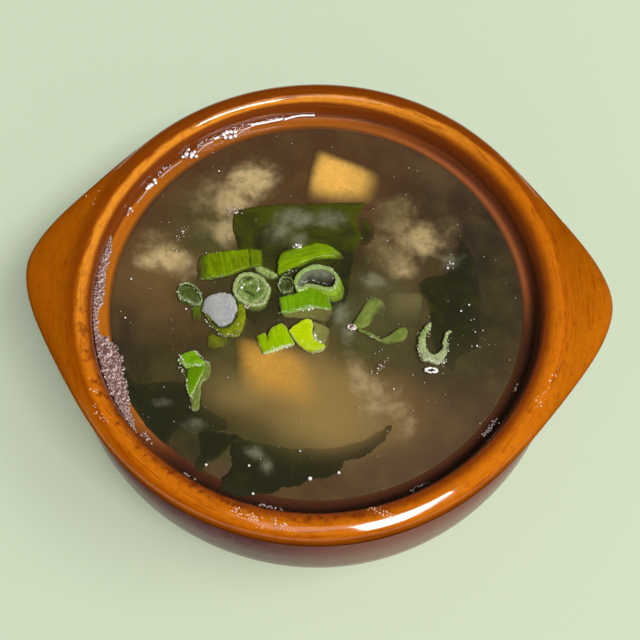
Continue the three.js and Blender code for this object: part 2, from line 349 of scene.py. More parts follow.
def bowl_stops():
    """The whole section from under the foot, over the rim, to the middle of the floor inside.

    Each stop is a radius and a height, then how far the lugs carry that line out and up."""
    foot = [
        (0, RECESS_Z), (FOOT_R - FOOT_WIDTH - RECESS_Z, RECESS_Z), (FOOT_R - FOOT_WIDTH, 0.3),
        (FOOT_R - FOOT_WIDTH + 0.5, 0), (FOOT_R - 0.9, 0), (FOOT_R, 0.9),
    ]
    lower = bend(FOOT_R - 5, BELLY_Z, BELLY_R - FOOT_R + 5, BELLY_Z - FOOT_Z, -75, 0, 9)
    climbs = np.linspace(0.2, 0.8, 4)
    upper = [(BELLY_R - (BELLY_R - NECK_R) * t**2, BELLY_Z + (NECK_Z - BELLY_Z) * t) for t in climbs]
    rim = [
        (NECK_R, NECK_Z, 0.4, -0.6),
        (RIM_R - 0.7, NECK_Z + 1, 2.4, 0.2),
        (RIM_R - 0.1, NECK_Z + 2, 7, 1.2),
        (RIM_R, CREST_Z - 5.6, LUG_REACH - 0.9, 0.9),
        (RIM_R, CREST_Z - 4.2, LUG_REACH, 0.9),
        (RIM_R, CREST_Z - 3.4, LUG_REACH - 0.3, 1.1),
        (RIM_R - 0.1, CREST_Z - 2.7, LUG_REACH - 1.4, 1.3),
        (RIM_R - 0.35, CREST_Z - 1.9, 5, 0.7),
        (RIM_R - 0.75, CREST_Z - 1.05, 1, -0.5),
        (RIM_R - 1.5, CREST_Z - 0.59, 0.6, -0.3),
        (RIM_R - 2.5, CREST_Z - 0.21, 0.3, -0.1),
    ]
    rolled = bend(CREST_R, CREST_Z - 4.1, CREST_R - MOUTH_R, 4.1, 90, 180, 7)
    inside = [
        (MOUTH_R, LEDGE_Z + 0.9), (MOUTH_R - 0.3, LEDGE_Z + 0.2), (MOUTH_R - 0.9, LEDGE_Z),
        (LEDGE_R + 0.7, LEDGE_Z), (LEDGE_R + 0.1, LEDGE_Z - 0.3), (LEDGE_R - 0.1, LEDGE_Z - 1.2),
        ((LEDGE_R + HOLLOW_R) / 2 + 0.5, (LEDGE_Z + HOLLOW_Z) / 2),
    ]
    hollow = bend(FLOOR_R, HOLLOW_Z, HOLLOW_R - FLOOR_R, HOLLOW_Z - FLOOR_Z, 0, -90, 9)
    stops = [*foot, *lower, *upper, *rim, *rolled, *inside, *hollow, (0, FLOOR_Z)]
    return [(*stop, 0, 0)[:4] for stop in stops]


def out_of_round(turn):
    """How far the hand-thrown wall strays outwards at each angle."""
    return 0.16 * np.sin(2 * turn + 0.6) + 0.11 * np.sin(5 * turn + 2.1)


def wiped_rim(radius, turn, z):
    """How far the crest was wiped flat while wet, on the near right of the rim."""
    flat = CREST_Z - 0.2 - WIPE_SLOPE * (radius - RIM_R + 2.8)
    share = np.exp(-(((turn - WIPE_TURN) / WIPE_SPREAD) ** 4)) * (z > CREST_Z - 2)
    return np.maximum(z - flat, 0) * share * 0.9


def make_bowl():
    line = smooth_line(bowl_stops(), 0.9)
    line[0, 0] = line[-1, 0] = 0
    around = 360
    points, faces = lathe(line[:, :2].tolist(), around)
    reach, rise = (np.append(np.repeat(line[1:-1, k], around), (0, 0)) for k in (2, 3))
    turn = np.arctan2(points[:, 1], points[:, 0])
    lean = LEFT_LEAN * (points[:, 0] < 0)
    away = np.abs(np.arctan2(points[:, 1], np.abs(points[:, 0])) - lean)
    lug = np.exp(-0.5 * (away / LUG_SPREAD) ** LUG_POWER)
    radius = np.hypot(points[:, 0], points[:, 1])
    grown = 1 + (reach * lug + out_of_round(turn) * (radius > FOOT_R)) / np.maximum(radius, 1)
    points[:, :2] *= grown[:, None]
    points[:, 2] -= wiped_rim(radius, turn, points[:, 2])
    points[:, 2] += rise * lug + 0.12 * np.sin(3 * turn + 1) * (points[:, 2] > LEDGE_Z + 1)
    bowl = make_piece("glazed_bowl", points, faces, glaze_finish(), "glaze")
    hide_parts("bowl")
    return bvhtree.BVHTree.FromPolygons(points.tolist(), faces)


bowl_skin = make_bowl()

# ---- Body of the soup
# Dashi stock clouded with miso paste, which gathers in drifting clouds. Light gets about a
# millimetre into it, so the body's top stands that far under the surface and shows what is deeper.
SOUP_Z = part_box("soup")[1].z / MM
MURK_Z = SOUP_Z - 1.1
CLEAR_Z = SOUP_Z - 0.3

brown, umber, drab = colour(92, 65, 42), colour(45, 42, 38), colour(100, 79, 60)
amber, gold, olive, ink = colour(124, 98, 60), colour(176, 150, 88), colour(74, 82, 42), colour(50, 58, 32)
stock_tones = [
    # tone, then the middle, half sizes and turn of the patch where the stock has it
    (umber, 46, 26, 14, 20, 35),
    (umber, 51, -4, 10, 20, 0),
    (umber, 41, 8, 6, 12, 0),
    (drab, 33, 41, 7, 5, -40),
    (colour(84, 92, 42), 1, 5, 6, 6, 0),
    (ink, 47, 2, 5, 12, 0),
    (drab, 42, -28, 12, 12, 0),
    (colour(134, 104, 68), 22, -30, 7, 8, 20),
    (drab, 26, -44, 18, 9, 0),
    (umber, -50, -16, 6, 9, 0),
    (amber, -42, 4, 10, 10, 0),
    (gold, 3, -27, 15, 9, -20),
    (gold, 6, -36, 12, 5, 0),
    (gold, -18, -27, 7, 5, 0),
    (olive, -29, 18, 9, 8, 30),
    (olive, 14, -13, 9, 5, 0),
    (colour(108, 102, 66), 19, 0, 7, 7, 0),
    (colour(106, 118, 78), 7.6, -4, 4, 4, 0),
    (ink, -26, 1, 7, 6, 0),
    (olive, -21, -19, 5, 7, 0),
    (ink, -13, -4, 9, 8, 0),
    (ink, 8, 4, 8, 10, 0),
    (ink, 38, -8, 10, 18, 10),
    (colour(70, 72, 50), 31, -17, 12, 6, 0),
    (colour(78, 84, 46), 15, -6, 8, 8, 0),
    (ink, -36, -26, 12, 12, 0),
    (ink, -30, -38, 14, 8, 0),
    (olive, -12, -42, 12, 5, 0),
    (umber, -31, -42.5, 4, 3, 0),
    (drab, -21, -47, 4, 3, 0),
]
STOCK_SHARE = 0.3
CLOUD_SHARE = 0.05

warm, dull, grey = colour(234, 208, 152), colour(138, 121, 80), colour(146, 146, 118)
wisp = colour(196, 172, 124)
cloud_patches = [
    # tone, middle, half sizes, turn in degrees, strength
    (warm, -20.5, 35, 7, 5.5, 30, 1.0),
    (warm, -25.5, 29, 6.5, 6.5, 0, 0.9),
    (dull, -32, 30, 6, 6, 0, 0.6),
    (warm, -25.5, 19, 4.5, 4.5, 0, 0.8),
    (dull, -31, 20, 6, 4, 0, 0.55),
    (warm, -39.5, 10, 8.5, 4.5, -25, 0.8),
    (warm, -45, 9, 4, 3, 0, 0.75),
    (dull, -45, 16.5, 4, 3, 0, 0.6),
    (dull, -33, 6.5, 5, 3, 0, 0.5),
    (grey, -7, 24, 5.5, 3.4, 0, 0.85),
    (grey, 2.5, 24, 5, 3, 0, 0.75),
    (grey, -5.5, 17, 3, 3, 0, 0.6),
    (grey, -11, 19.5, 5, 4, 30, 0.55),
    (dull, 21, 29, 6, 4, 0, 0.8),
    (dull, 20, 23.5, 6, 4, 0, 0.85),
    (warm, 27, 19, 7, 5.5, 0, 0.85),
    (dull, 20.5, 13, 6, 5, 20, 0.9),
    (warm, 23, 9.5, 3.6, 2.6, 0, 0.75),
    (dull, 16, 17, 4, 7, 0, 0.65),
    (dull, 35, 23, 4.5, 4.5, 0, 0.5),
    (grey, 35, 13, 3.5, 3, 0, 0.45),
    (grey, 15, 6, 3.6, 2.8, 0, 0.85),
    (grey, 6.5, -4.4, 2.2, 3, 0, 0.8),
    (grey, 8.6, -9.6, 2.2, 3, 0, 0.75),
    (wisp, 12, -22.5, 3, 7, 15, 0.72),
    (wisp, 16, -29, 4, 5, 0, 0.62),
    (wisp, 20.5, -28.5, 5, 3.6, -35, 0.66),
    (wisp, 15.6, -25, 3.6, 4, 0, 0.7),
    (wisp, 24.5, -34, 3, 4.5, 0, 0.45),
    (dull, 17, -33.5, 5, 3, 0, 0.4),
    (grey, -12.8, -42.9, 2.6, 1.8, -20, 0.8),
    (grey, -9.8, -45.4, 2, 2.2, 0, 0.7),
    (grey, -37, -31, 3.4, 1.5, 10, 0.45),
    (grey, -28, -36, 2.8, 2, 0, 0.5),
    (dull, -23.5, -40.5, 2, 2.6, 0, 0.4),
]


def patch(places, x, y, half_x, half_y, turn=0):
    """How far each place lies in an oval patch: 1 in its middle, easing to 0 outside."""
    c, s = math.cos(math.radians(turn)), math.sin(math.radians(turn))
    dx, dy = places[:, 0] - x, places[:, 1] - y
    return np.exp(-(((dx * c + dy * s) / half_x) ** 2) - ((dy * c - dx * s) / half_y) ** 2)


def mixed(places, patches, base, share):
    """The tone at each place, from the base tone and those of the patches that reach it."""
    tones = share * np.ones((len(places), 1)) * base
    total = share * np.ones(len(places))
    for tone, *where in patches:
        weight = patch(places, *where)
        tones += np.outer(weight, tone)
        total += weight
    return tones / total[:, None]


def murk_marks(places, over=cloud_patches):
    """The stock's tone at each place, and how thick and of what tone the miso clouds are there."""
    thick = np.zeros(len(places))
    for _, *where, strength in over:
        thick = np.maximum(thick, strength * patch(places, *where))
    clouds = [where[:6] for where in over]
    return {
        "murk": mixed(places, stock_tones, brown, STOCK_SHARE),
        "cloud": thick,
        "cloud_tone": mixed(places, clouds, dull, CLOUD_SHARE),
    }


def clouded(wire, place, under):
    """A sunk colour with the miso clouds that drift over it."""
    flat = place.stretched(1, 1, 0)
    billow = flat.grain(0.17, 3, 0.5, 0.4)
    puff = flat.grain(0.42, 6, 0.6, 0.3)
    lump = billow * 0.6 + puff * 0.4
    thick = (wire.mark("cloud") * 1.35 + (lump - 0.5) * 1.35).between(0.12, 1.08)
    shaded = wire.node("VectorMath", {"operation": "SCALE"}, {0: wire.mark("cloud_tone", 0), 3: 0.62})
    tone = (puff * 0.7 + billow * 0.3).between(0.34, 0.6).blend(shaded, wire.mark("cloud_tone", 0))
    return (thick * 0.9).blend(under, tone)


def soup_finish():
    material, wire = new_finish("miso_murk")
    place = wire.place()
    haze = place.stretched(1, 1, 0).grain(0.11, 5, 0.55, 0.3)
    speck = place.grain(2.6, 3, 0.6)
    under = (haze.between(0.35, 0.75) * 0.12).blend(wire.mark("murk", 0), gold)
    under = (speck.between(0.45, 0.8) * 0.09).blend(under, gold)
    return show(material, wire.glossy({
        "Base Color": clouded(wire, place, under),
        "Roughness": speck * 0.2 + 0.5,
        "Specular IOR Level": 0.0,
    }))


def make_soup():
    """The body reaches a little into the clay all round, so that no gap shows."""
    reach = 0.3
    rim = [(LEDGE_R + reach, MURK_Z - 0.2), (LEDGE_R - 0.1 + reach, LEDGE_Z - 1.2)]
    rim.append(((LEDGE_R + HOLLOW_R) / 2 + 0.5 + reach, (LEDGE_Z + HOLLOW_Z) / 2))
    wall = bend(FLOOR_R, HOLLOW_Z, HOLLOW_R - FLOOR_R + reach, HOLLOW_Z - FLOOR_Z + reach, 0, -90, 9)
    top = [(r, MURK_Z) for r in np.arange(0, LEDGE_R, 0.6)]
    profile = [*top, *rim, *wall, (0, FLOOR_Z - reach)][::-1]
    points, faces = lathe(profile, 300)
    body = make_piece("soup_body", points, faces, soup_finish(), "broth", **murk_marks(points))
    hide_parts("soup")


make_soup()

# ---- Tofu
# Cubes of soft tofu, cut by hand from a block of bean curd, soaked warm yellow by the stock. They
# hang just under the surface, tipped, and melt from sight where they go deeper.
tofu_blocks = [
    # name, corners of the top from the near left one round, top, thickness, how round its edges are,
    # tone, how far each side takes to come into sight: left, right, near and far
    ("tofu_far", [(-6.4, 27.2), (17.2, 26.4), (18.2, 40.2), (-3.4, 49)], CLEAR_Z - 0.25, 11, 1.0,
     colour(255, 206, 104), (2.4, 6.5, 5.5, 2.8)),
    ("tofu_near", [(-20, -30), (11, -38.5), (2, -14), (-22.5, -9.5)], CLEAR_Z - 0.3, 11, 2.5,
     colour(222, 172, 76), (4.2, 9.0, 9.0, 4)),
    ("tofu_right", [(16, -9), (29, -8.5), (28.8, 4.2), (17, 4.4)], CLEAR_Z - 0.4, 9, 2.2,
     colour(126, 116, 74), (3.5, 1.6, 7, 1.4)),
]


def tofu_finish(name, tone):
    material, wire = new_finish(name)
    place = wire.place()
    curd = place.grain(0.9, 5, 0.6)
    drift = place.stretched(1, 1, 0).grain(0.2, 4, 0.55, 0.3)
    crumb = curd.between(0.3, 0.7).blend([c * 0.88 for c in tone[:3]] + [1], tone)
    seen = (wire.mark("seen") * (drift * 0.8 + 0.65)).between(0.0, 1.0)
    return show(material, wire.glossy({
        "Base Color": clouded(wire, place, seen.blend(wire.mark("murk", 0), crumb)),
        "Roughness": curd * 0.2 + 0.45,
        "Specular IOR Level": 0.0,
        "Normal": curd.relief(0.12),
    }))


def sunk(points, seen):
    """Lowers the top of a sunk piece into the murk wherever it goes out of sight."""
    deep = MURK_Z - 0.1
    above = np.maximum(points[:, 2] - deep, 0)
    points[:, 2] -= above * (1 - np.sqrt(seen))
    return points


def make_tofu(name, corners, top, thickness, round_by, tone, fades):
    """A cube with rounded edges, drawn out to its four corners and left a little uneven."""
    curd = bmesh.new()
    bmesh.ops.create_cube(curd, size=2)
    bmesh.ops.subdivide_edges(curd, edges=curd.edges[:], cuts=30, use_grid_fill=True)
    cube = np.array([v.co for v in curd.verts])
    faces = [[v.index for v in face.verts] for face in curd.faces]
    curd.free()
    near_left, near_right, far_right, far_left = np.array(corners)
    half = np.array([
        np.linalg.norm(near_right - near_left + far_right - far_left) / 4,
        np.linalg.norm(far_left - near_left + far_right - near_right) / 4,
        thickness / 2,
    ])
    box = cube * half
    core = np.clip(box, -half + round_by, half - round_by)
    out = box - core
    far = np.maximum(np.linalg.norm(out, axis=1), 1e-6)
    solid = core + out * (np.abs(out).max(axis=1) / far)[:, None]
    u, v = (solid[:, k, None] / half[k] for k in (0, 1))
    flat = ((1 - u) * (1 - v) * near_left + (1 + u) * (1 - v) * near_right
            + (1 + u) * (1 + v) * far_right + (1 - u) * (1 + v) * far_left) / 4
    points = np.column_stack([flat, solid[:, 2] + top - thickness / 2])
    points += [noise.noise_vector(Vector(p) * 0.22) * 0.2 for p in points]
    gaps = [solid[:, 0] + half[0], half[0] - solid[:, 0], solid[:, 1] + half[1], half[1] - solid[:, 1]]
    seen = np.prod([1 - np.exp(-((gap / fade) ** 2)) for gap, fade in zip(gaps, fades)], axis=0)
    points = sunk(points, seen)
    make_piece(name, points, faces, tofu_finish(name, tone), "broth", seen=seen, **murk_marks(points))


noise.seed_set(4)
for block in tofu_blocks:
    make_tofu(*block)

# ---- Wakame
# Soft leaves of wakame kelp, torn small and soaked. Each is a thin wavy sheet, nearly black where
# it is deep or folded and olive green where it comes up to the light; that light is painted into its
# colour.
leaves = [
    # name, outline, height above the murk, its slope along x and y, how ragged the edge is, how far
    # the edge takes to come into sight, how much painted light it gets, and where the leaf sinks out of
    # sight
    ("wakame_middle", [
        (-23.8, 25.3), (-23.8, 25.3), (-16.3, 27.3), (-6, 28.4), (12.1, 29.7), (12.1, 29.7), (10.3, 26),
        (9.9, 22.9), (11.1, 19.2), (9.9, 15), (8.8, 9), (7.8, 0), (4, -8), (-6.3, -11.2), (-16, -8),
        (-20, -1.6), (-20.6, 9), (-22, 15), (-23.7, 20),
    ], 0.3, (0.0, 0.01), 0.12, 0, 1.0, [(-8, -8, 16, 9)]),
    ("wakame_lobe", [
        (10.1, 25.4), (12.2, 25.6), (14.2, 23.8), (15.1, 20.7), (14.1, 17.5), (12, 16.2), (10.3, 18),
    ], 0.25, (0.0, 0.01), 0.12, 1.2, 1.0, []),
    ("wakame_right", [
        (38, 20.5), (36.9, 16.7), (35.5, 11.2), (33.1, 9), (29.1, 7.9), (26.5, 5.7), (27.1, 3),
        (28.6, 0.8), (29.4, -2.7), (29.7, -6.9), (30.5, -12.2), (33.6, -17.9), (37.9, -19.9), (42, -16.4),
        (43.4, -8.8), (43.5, -0.2), (43.1, 7.1), (41.9, 13.6), (39.6, 18.7),
    ], 0.25, (-0.01, 0.004), 0.25, 0.7, 0.55, [(40, -17.5, 10, 9), (46, -2, 5.5, 20), (28, 13.5, 4, 3)]),
    ("wakame_left", [
        (-55.6, -12.2), (-52.6, -15.2), (-50, -18.5), (-47, -22), (-44.6, -25), (-40.8, -25.2),
        (-34.5, -23.6), (-28, -22.6), (-21.6, -24), (-14, -27), (-12, -31.4), (-14.7, -36), (-20.6, -38.4),
        (-26.9, -38.7), (-31.9, -38.2), (-34.8, -42.5), (-37.4, -43.2), (-40.8, -40), (-46.2, -33.4),
        (-50.4, -26.4), (-53.6, -19),
    ], 0.1, (-0.005, -0.005), 0.3, 1.0, 0.5, [(-16, -28, 11, 9), (-23, -28, 6, 7), (-33, -23, 11, 4)]),
    ("wakame_strip", [
        (-17, -38), (-21.4, -37.7), (-25.7, -37.1), (-27.8, -38.5), (-27.1, -40.8), (-26.6, -43.1),
        (-27.4, -45.2), (-27.9, -47.2), (-27.2, -49.2), (-25.1, -48.3), (-24.3, -46.3), (-22.2, -45.2),
        (-20, -43), (-18.7, -41.2), (-16.8, -40.1),
    ], 0.2, (0, -0.005), 0.2, 0.5, 0.3, []),
    ("wakame_near", [
        (-20.4, -49.6), (-18.8, -47.8), (-18.3, -45.7), (-19, -43.2), (-18.9, -41.2), (-17.4, -39.1),
        (-15.5, -37.7), (-2.1, -38.8), (5.2, -37.9), (12.6, -36.3), (17.5, -34.7), (19.9, -34.1),
        (20.8, -33.9), (20.8, -33.9), (19.5, -36.7), (17.1, -39.6), (13.7, -42.4), (10.8, -43.3),
        (9.2, -43.7), (9.2, -43.7), (8.3, -45.7), (7.3, -47), (3.8, -48.4), (0.9, -48.8), (-1, -50.1),
        (-3.8, -51), (-6, -51.3), (-8.1, -52.7), (-11.4, -53.1), (-15.6, -54), (-18.6, -53.2),
        (-20.6, -52.3),
    ], 0.12, (0.0, -0.01), 0.35, 0, 0.25,
     [(-12, -36.6, 6, 3), (-4, -37.4, 8, 5.4), (5, -37.4, 8, 5), (12, -35.4, 6, 3.4), (17, -33.4, 3, 2)]),
]


def ragged_outline(outline, ragged):
    """A leaf's outline with a torn edge, as points less than half a millimetre apart."""
    line = smooth_line([*outline, outline[0]], 0.4)[:-1]
    ahead = np.roll(line, -1, axis=0) - np.roll(line, 1, axis=0)
    out = np.column_stack([ahead[:, 1], -ahead[:, 0]])
    out /= np.maximum(np.linalg.norm(ahead, axis=1), 1e-6)[:, None]
    torn = [noise.fractal(Vector((*p, 0)) * 0.8, 0.6, 2.2, 4) for p in line]
    return line + out * ragged * np.array(torn)[:, None]


def inside(outline, places):
    """Which places lie inside a closed outline."""
    found = np.zeros(len(places), bool)
    for (x0, y0), (x1, y1) in zip(outline, np.roll(outline, -1, axis=0)):
        crosses = (y0 > places[:, 1]) != (y1 > places[:, 1])
        with np.errstate(divide="ignore", invalid="ignore"):
            found ^= crosses & (places[:, 0] < (x1 - x0) * (places[:, 1] - y0) / (y1 - y0) + x0)
    return found


def sheet_mesh(outline, pitch, thickness, height):
    """Points and faces of a thin closed sheet of that outline, and how far each point is from it."""
    low, high = outline.min(axis=0), outline.max(axis=0)
    grid = np.stack(np.meshgrid(*(np.arange(a, b, pitch) for a, b in zip(low, high))), -1).reshape(-1, 2)
    grid = grid[inside(outline, grid)]
    gaps = np.linalg.norm(grid[:, None] - outline[None, ::2], axis=2).min(axis=1)
    flat = [Vector(p) for p in np.vstack([outline, grid[gaps > pitch * 0.6]])]
    edge = list(range(len(outline)))
    flat, _, faces, *_ = geometry.delaunay_2d_cdt(flat, [], [edge], 1, 1e-5)
    flat = np.array([tuple(p) for p in flat])
    z = height(flat)
    count = len(flat)
    points = np.vstack([np.column_stack([flat, z]), np.column_stack([flat, z - thickness])])
    sides = {(a, b) for face in faces for a, b in zip(face, face[1:] + face[:1])}
    rim = sorted((a, b) for a, b in sides if (b, a) not in sides)
    faces = [*faces, *([i + count for i in reversed(face)] for face in faces)]
    faces += [(a, a + count, b + count, b) for a, b in rim]
    gaps = np.linalg.norm(points[:, None, :2] - outline[None], axis=2).min(axis=1)
    return points, faces, gaps


def wakame_finish():
    material, wire = new_finish("wakame")
    place = wire.place()
    flesh = place.stretched(1, 1, 0).grain(0.13, 4, 0.5, 0.6)
    pores = place.grain(1.6, 4, 0.6)
    # painted light: the leaf lighter where it rises towards the surface, by how much light it gets
    leaf = (flesh + (wire.mark("lit") - 0.5) * 0.5).between(0.35, 0.75)
    leaf = leaf.blend(colour(38, 44, 27), colour(82, 90, 10))
    leaf = (pores.between(0.5, 0.8) * 0.2).blend(leaf, colour(80, 84, 14))
    body = (wire.mark("seen") * 0.97).blend(wire.mark("murk", 0), leaf)
    return show(material, wire.glossy({
        "Base Color": clouded(wire, place, body),
        "Roughness": pores * 0.2 + 0.35,
        "Specular IOR Level": 0.0,
        "Normal": pores.relief(0.1),
    }))


def make_leaf(name, outline, rise, slope, ragged, soft, bright, melts, finish):
    """A wavy sheet just over the murk. Of the clouds only the grey ones drift over it."""
    outline = ragged_outline(outline, ragged)
    middle = outline.mean(axis=0)

    def height(places):
        wave = np.array([noise.fractal(Vector((*p, 3)) * 0.09, 0.8, 2, 3) for p in places])
        return MURK_Z + rise + (places - middle) @ np.array(slope) + wave * 0.08

    points, faces, gaps = sheet_mesh(outline, 0.7, 0.1, height)
    points[:, 2] = np.minimum(points[:, 2], SOUP_Z - 0.1)
    seen = 1 - np.exp(-((gaps / soft) ** 2)) if soft else np.ones(len(points))
    for where in melts:
        seen = seen * (1 - patch(points, *where))
    # painted light: how much lighter the leaf is, from its height over the murk
    lit = (points[:, 2] - MURK_Z - 0.05) / 0.5
    points = sunk(points, seen)
    high = [cloud for cloud in cloud_patches if cloud[0] is grey]
    marks = murk_marks(points, high)
    make_piece(name, points, faces, finish, "broth", seen=seen, lit=np.clip(lit, 0, 1) * bright, **marks)


wakame = wakame_finish()
for leaf in leaves:
    make_leaf(*leaf, wakame)

# ---- Spring onion
# Slices of spring onion, cut across the hollow leaf and scattered on last. Bits of its wall lie skin
# up and half sunk, whole rings stand open, and one solid slice is from the white of the stem.
onion_tones = {
    # slot, veins, skin between them, inner wall and painted shade on one side, cut flesh
    "olive": ("leaf_green", (98, 116, 4), (124, 150, 6), (110, 130, 6), (146, 152, 70)),
    "fern": ("leaf_green", (108, 140, 4), (136, 168, 6), (84, 104, 24), (150, 168, 80)),
    "grass": ("leaf_green", (100, 146, 6), (126, 172, 16), (90, 124, 4), (166, 188, 108)),
    "lime": ("leaf_yellow", (138, 176, 2), (168, 202, 4), (136, 166, 2), (204, 214, 130)),
    "yellow": ("leaf_yellow", (180, 202, 2), (204, 224, 6), (166, 188, 10), (210, 218, 136)),
    "straw": ("leaf_yellow", (112, 120, 8), (162, 170, 28), (92, 100, 10), (186, 194, 84)),
    "stem": ("leaf_green", (118, 146, 34), (150, 180, 48), (112, 116, 90), (142, 166, 92)),
    "pale": ("leaf_pale", (98, 126, 48), (150, 168, 96), (84, 108, 38), (158, 172, 108)),
    "frill": ("leaf_pale", (112, 138, 58), (172, 186, 118), (182, 182, 152), (216, 220, 184)),
    "cut": ("leaf_pale", (126, 128, 60), (154, 154, 82), (118, 106, 66), (196, 192, 140)),
    "clear": ("leaf_pale", (82, 106, 40), (120, 140, 62), (66, 82, 30), (122, 140, 86)),
    "flimsy": ("leaf_pale", (120, 138, 58), (150, 166, 80), (104, 120, 44), (172, 184, 116)),
    "hollow": ("leaf_pale", (106, 108, 86), (136, 138, 112), (44, 44, 30), (150, 160, 120)),
    "white": ("leaf_white", (154, 152, 160), (198, 200, 186), (150, 152, 148), (204, 208, 190)),
}


def onion_finish(kind):
    """Wet leaf, veined along its length, which fades into the soup where it goes under. Its creases, and
    one side of some bits through the inner tone, get painted shade.
    """
    veined, skin, inner, flesh = (colour(*card) for card in onion_tones[kind][1:])
    material, wire = new_finish("onion_" + kind)
    place = wire.place()
    z = place.axes()[2]
    grown = wire.node("CombineXYZ", {}, {0: wire.mark("course"), 1: wire.mark("along")})
    fibres = grown.stretched(1.4, 0.15, 1).grain(1.0, 4, 0.6)
    patchy = place.grain(0.32, 3, 0.5)
    cells = place.grain(2.3, 4, 0.65)
    shown = (fibres * 0.65 + patchy * 0.35).between(0.38, 0.62).blend(veined, skin)
    # the inner tone covers the inner wall of rings and one side of some bits, mostly as painted shade
    shown = wire.mark("inner").blend(shown, inner)
    cut = (wire.mark("cut") + (cells - 0.5) * 0.9 + (patchy - 0.5) * 1.4).between(0.35, 0.75)
    shown = cut.blend(shown, flesh)
    # painted shade along creases and folds
    shown = wire.mark("crease_shade").blend(shown, colour(40, 50, 14))
    under = z.between(SOUP_Z - 0.25, MURK_Z) * 0.65
    dry = z.between(SOUP_Z - 0.1, SOUP_Z + 0.3)
    shown = under.blend(shown, wire.mark("murk", 0))
    return show(material, wire.glossy({
        "Base Color": wire.mark("seen").blend(wire.mark("murk", 0), shown),
        "Roughness": cells * 0.25 + 0.25,
        "Specular IOR Level": 0.05,
        "Coat Weight": dry * 0.35,
        "Coat Roughness": 0.1,
        "Subsurface Weight": 0.2,
        "Subsurface Radius": (0.6, 1.0, 0.3),
        "Subsurface Scale": MM,
        "Normal": (fibres * 0.5 + cells * 0.7).relief(0.14),
    }))


finishes = {kind: onion_finish(kind) for kind in onion_tones}
sliced = set()
SLICE_FOOT_Z = MURK_Z - 0.6


def float_slice(name, kind, points, faces, marks):
    """A piece of a slice. The first piece of each slice takes the place of its plain solid."""
    marks = {**marks, **murk_marks(points)}
    piece = make_piece("spring_onion_" + name, points, faces, finishes[kind], onion_tones[kind][0], **marks)
    node = piece.name.split(".")[0]
    if node not in sliced:
        sliced.add(node)
        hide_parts(node)
    return piece


def near_lines(places, lines):
    """How close each place is to any of the creases of painted shade, which are two ends and a half width:
    1 to 0.
    """
    near = np.zeros(len(places))
    for x0, y0, x1, y1, half in lines:
        start, span = np.array([x0, y0]), np.array([x1 - x0, y1 - y0])
        t = np.clip((places[:, :2] - start) @ span / (span @ span), 0, 1)
        gap = np.linalg.norm(places[:, :2] - start - t[:, None] * span, axis=1)
        near = np.maximum(near, np.exp(-((gap / half) ** 2)))
    return near


def skin_up(name, kind, sides, crown, heading, outline, ragged=0.16, edge=0.6, bumpy=0.18, weave=(1, 1),
            slope=(0, 0), fade=(0, 0), inner=0.0, edge_by=0.35, melts=(), shade_creases=()):
    """A bit of leaf wall of that outline, arched across its veins from its sides to its crown. The inner
    tone, sloped across it by fade, and the creases are painted shade.
    """
    outline = ragged_outline(outline, ragged)
    middle = (outline.min(axis=0) + outline.max(axis=0)) / 2
    c, s = math.cos(math.radians(heading)), math.sin(math.radians(heading))
    over, length = np.array([-s, c]), np.array([c, s])
    reach = np.abs((outline - middle) @ over).max()

    def height(places):
        arched = crown - (crown - sides) * ((places - middle) @ over / reach) ** 2
        bumps = np.array([noise.fractal(Vector((*p, crown)) * 0.6, 0.7, 2, 3) for p in places])
        return SOUP_Z + arched + (places - middle) @ np.array(slope) + bumps * bumpy

    points, faces, gaps = sheet_mesh(outline, 0.4, 1.0, height)
    count = len(points) // 2
    points[:count, 2] -= 0.3 * (1 - np.sqrt(1 - np.clip(1 - gaps[:count] / 0.4, 0, 1) ** 2))
    points[count:, 2] = SLICE_FOOT_Z
    flat = points[:, :2] - middle
    seen = np.ones(len(points))
    for where in melts:
        seen = seen * (1 - patch(points, *where))
    marks = {
        "course": flat @ over * weave[0] + middle[0],
        "along": flat @ length * weave[1] + middle[1],
        "cut": np.where(np.arange(len(points)) < count, edge * np.clip(1 - gaps / edge_by, 0, 1), 1.0),
        "inner": np.clip(inner + flat @ np.array(fade), 0, 1),
        "crease_shade": near_lines(points, shade_creases),
        "seen": seen,
    }
    return float_slice(name, kind, sunk(points, seen), faces, marks)


def bumps_along(line, scale, seed):
    """Noise from -1 to 1 at each point of a line."""
    return np.array([noise.noise(Vector((*p, seed)) * scale) for p in line])


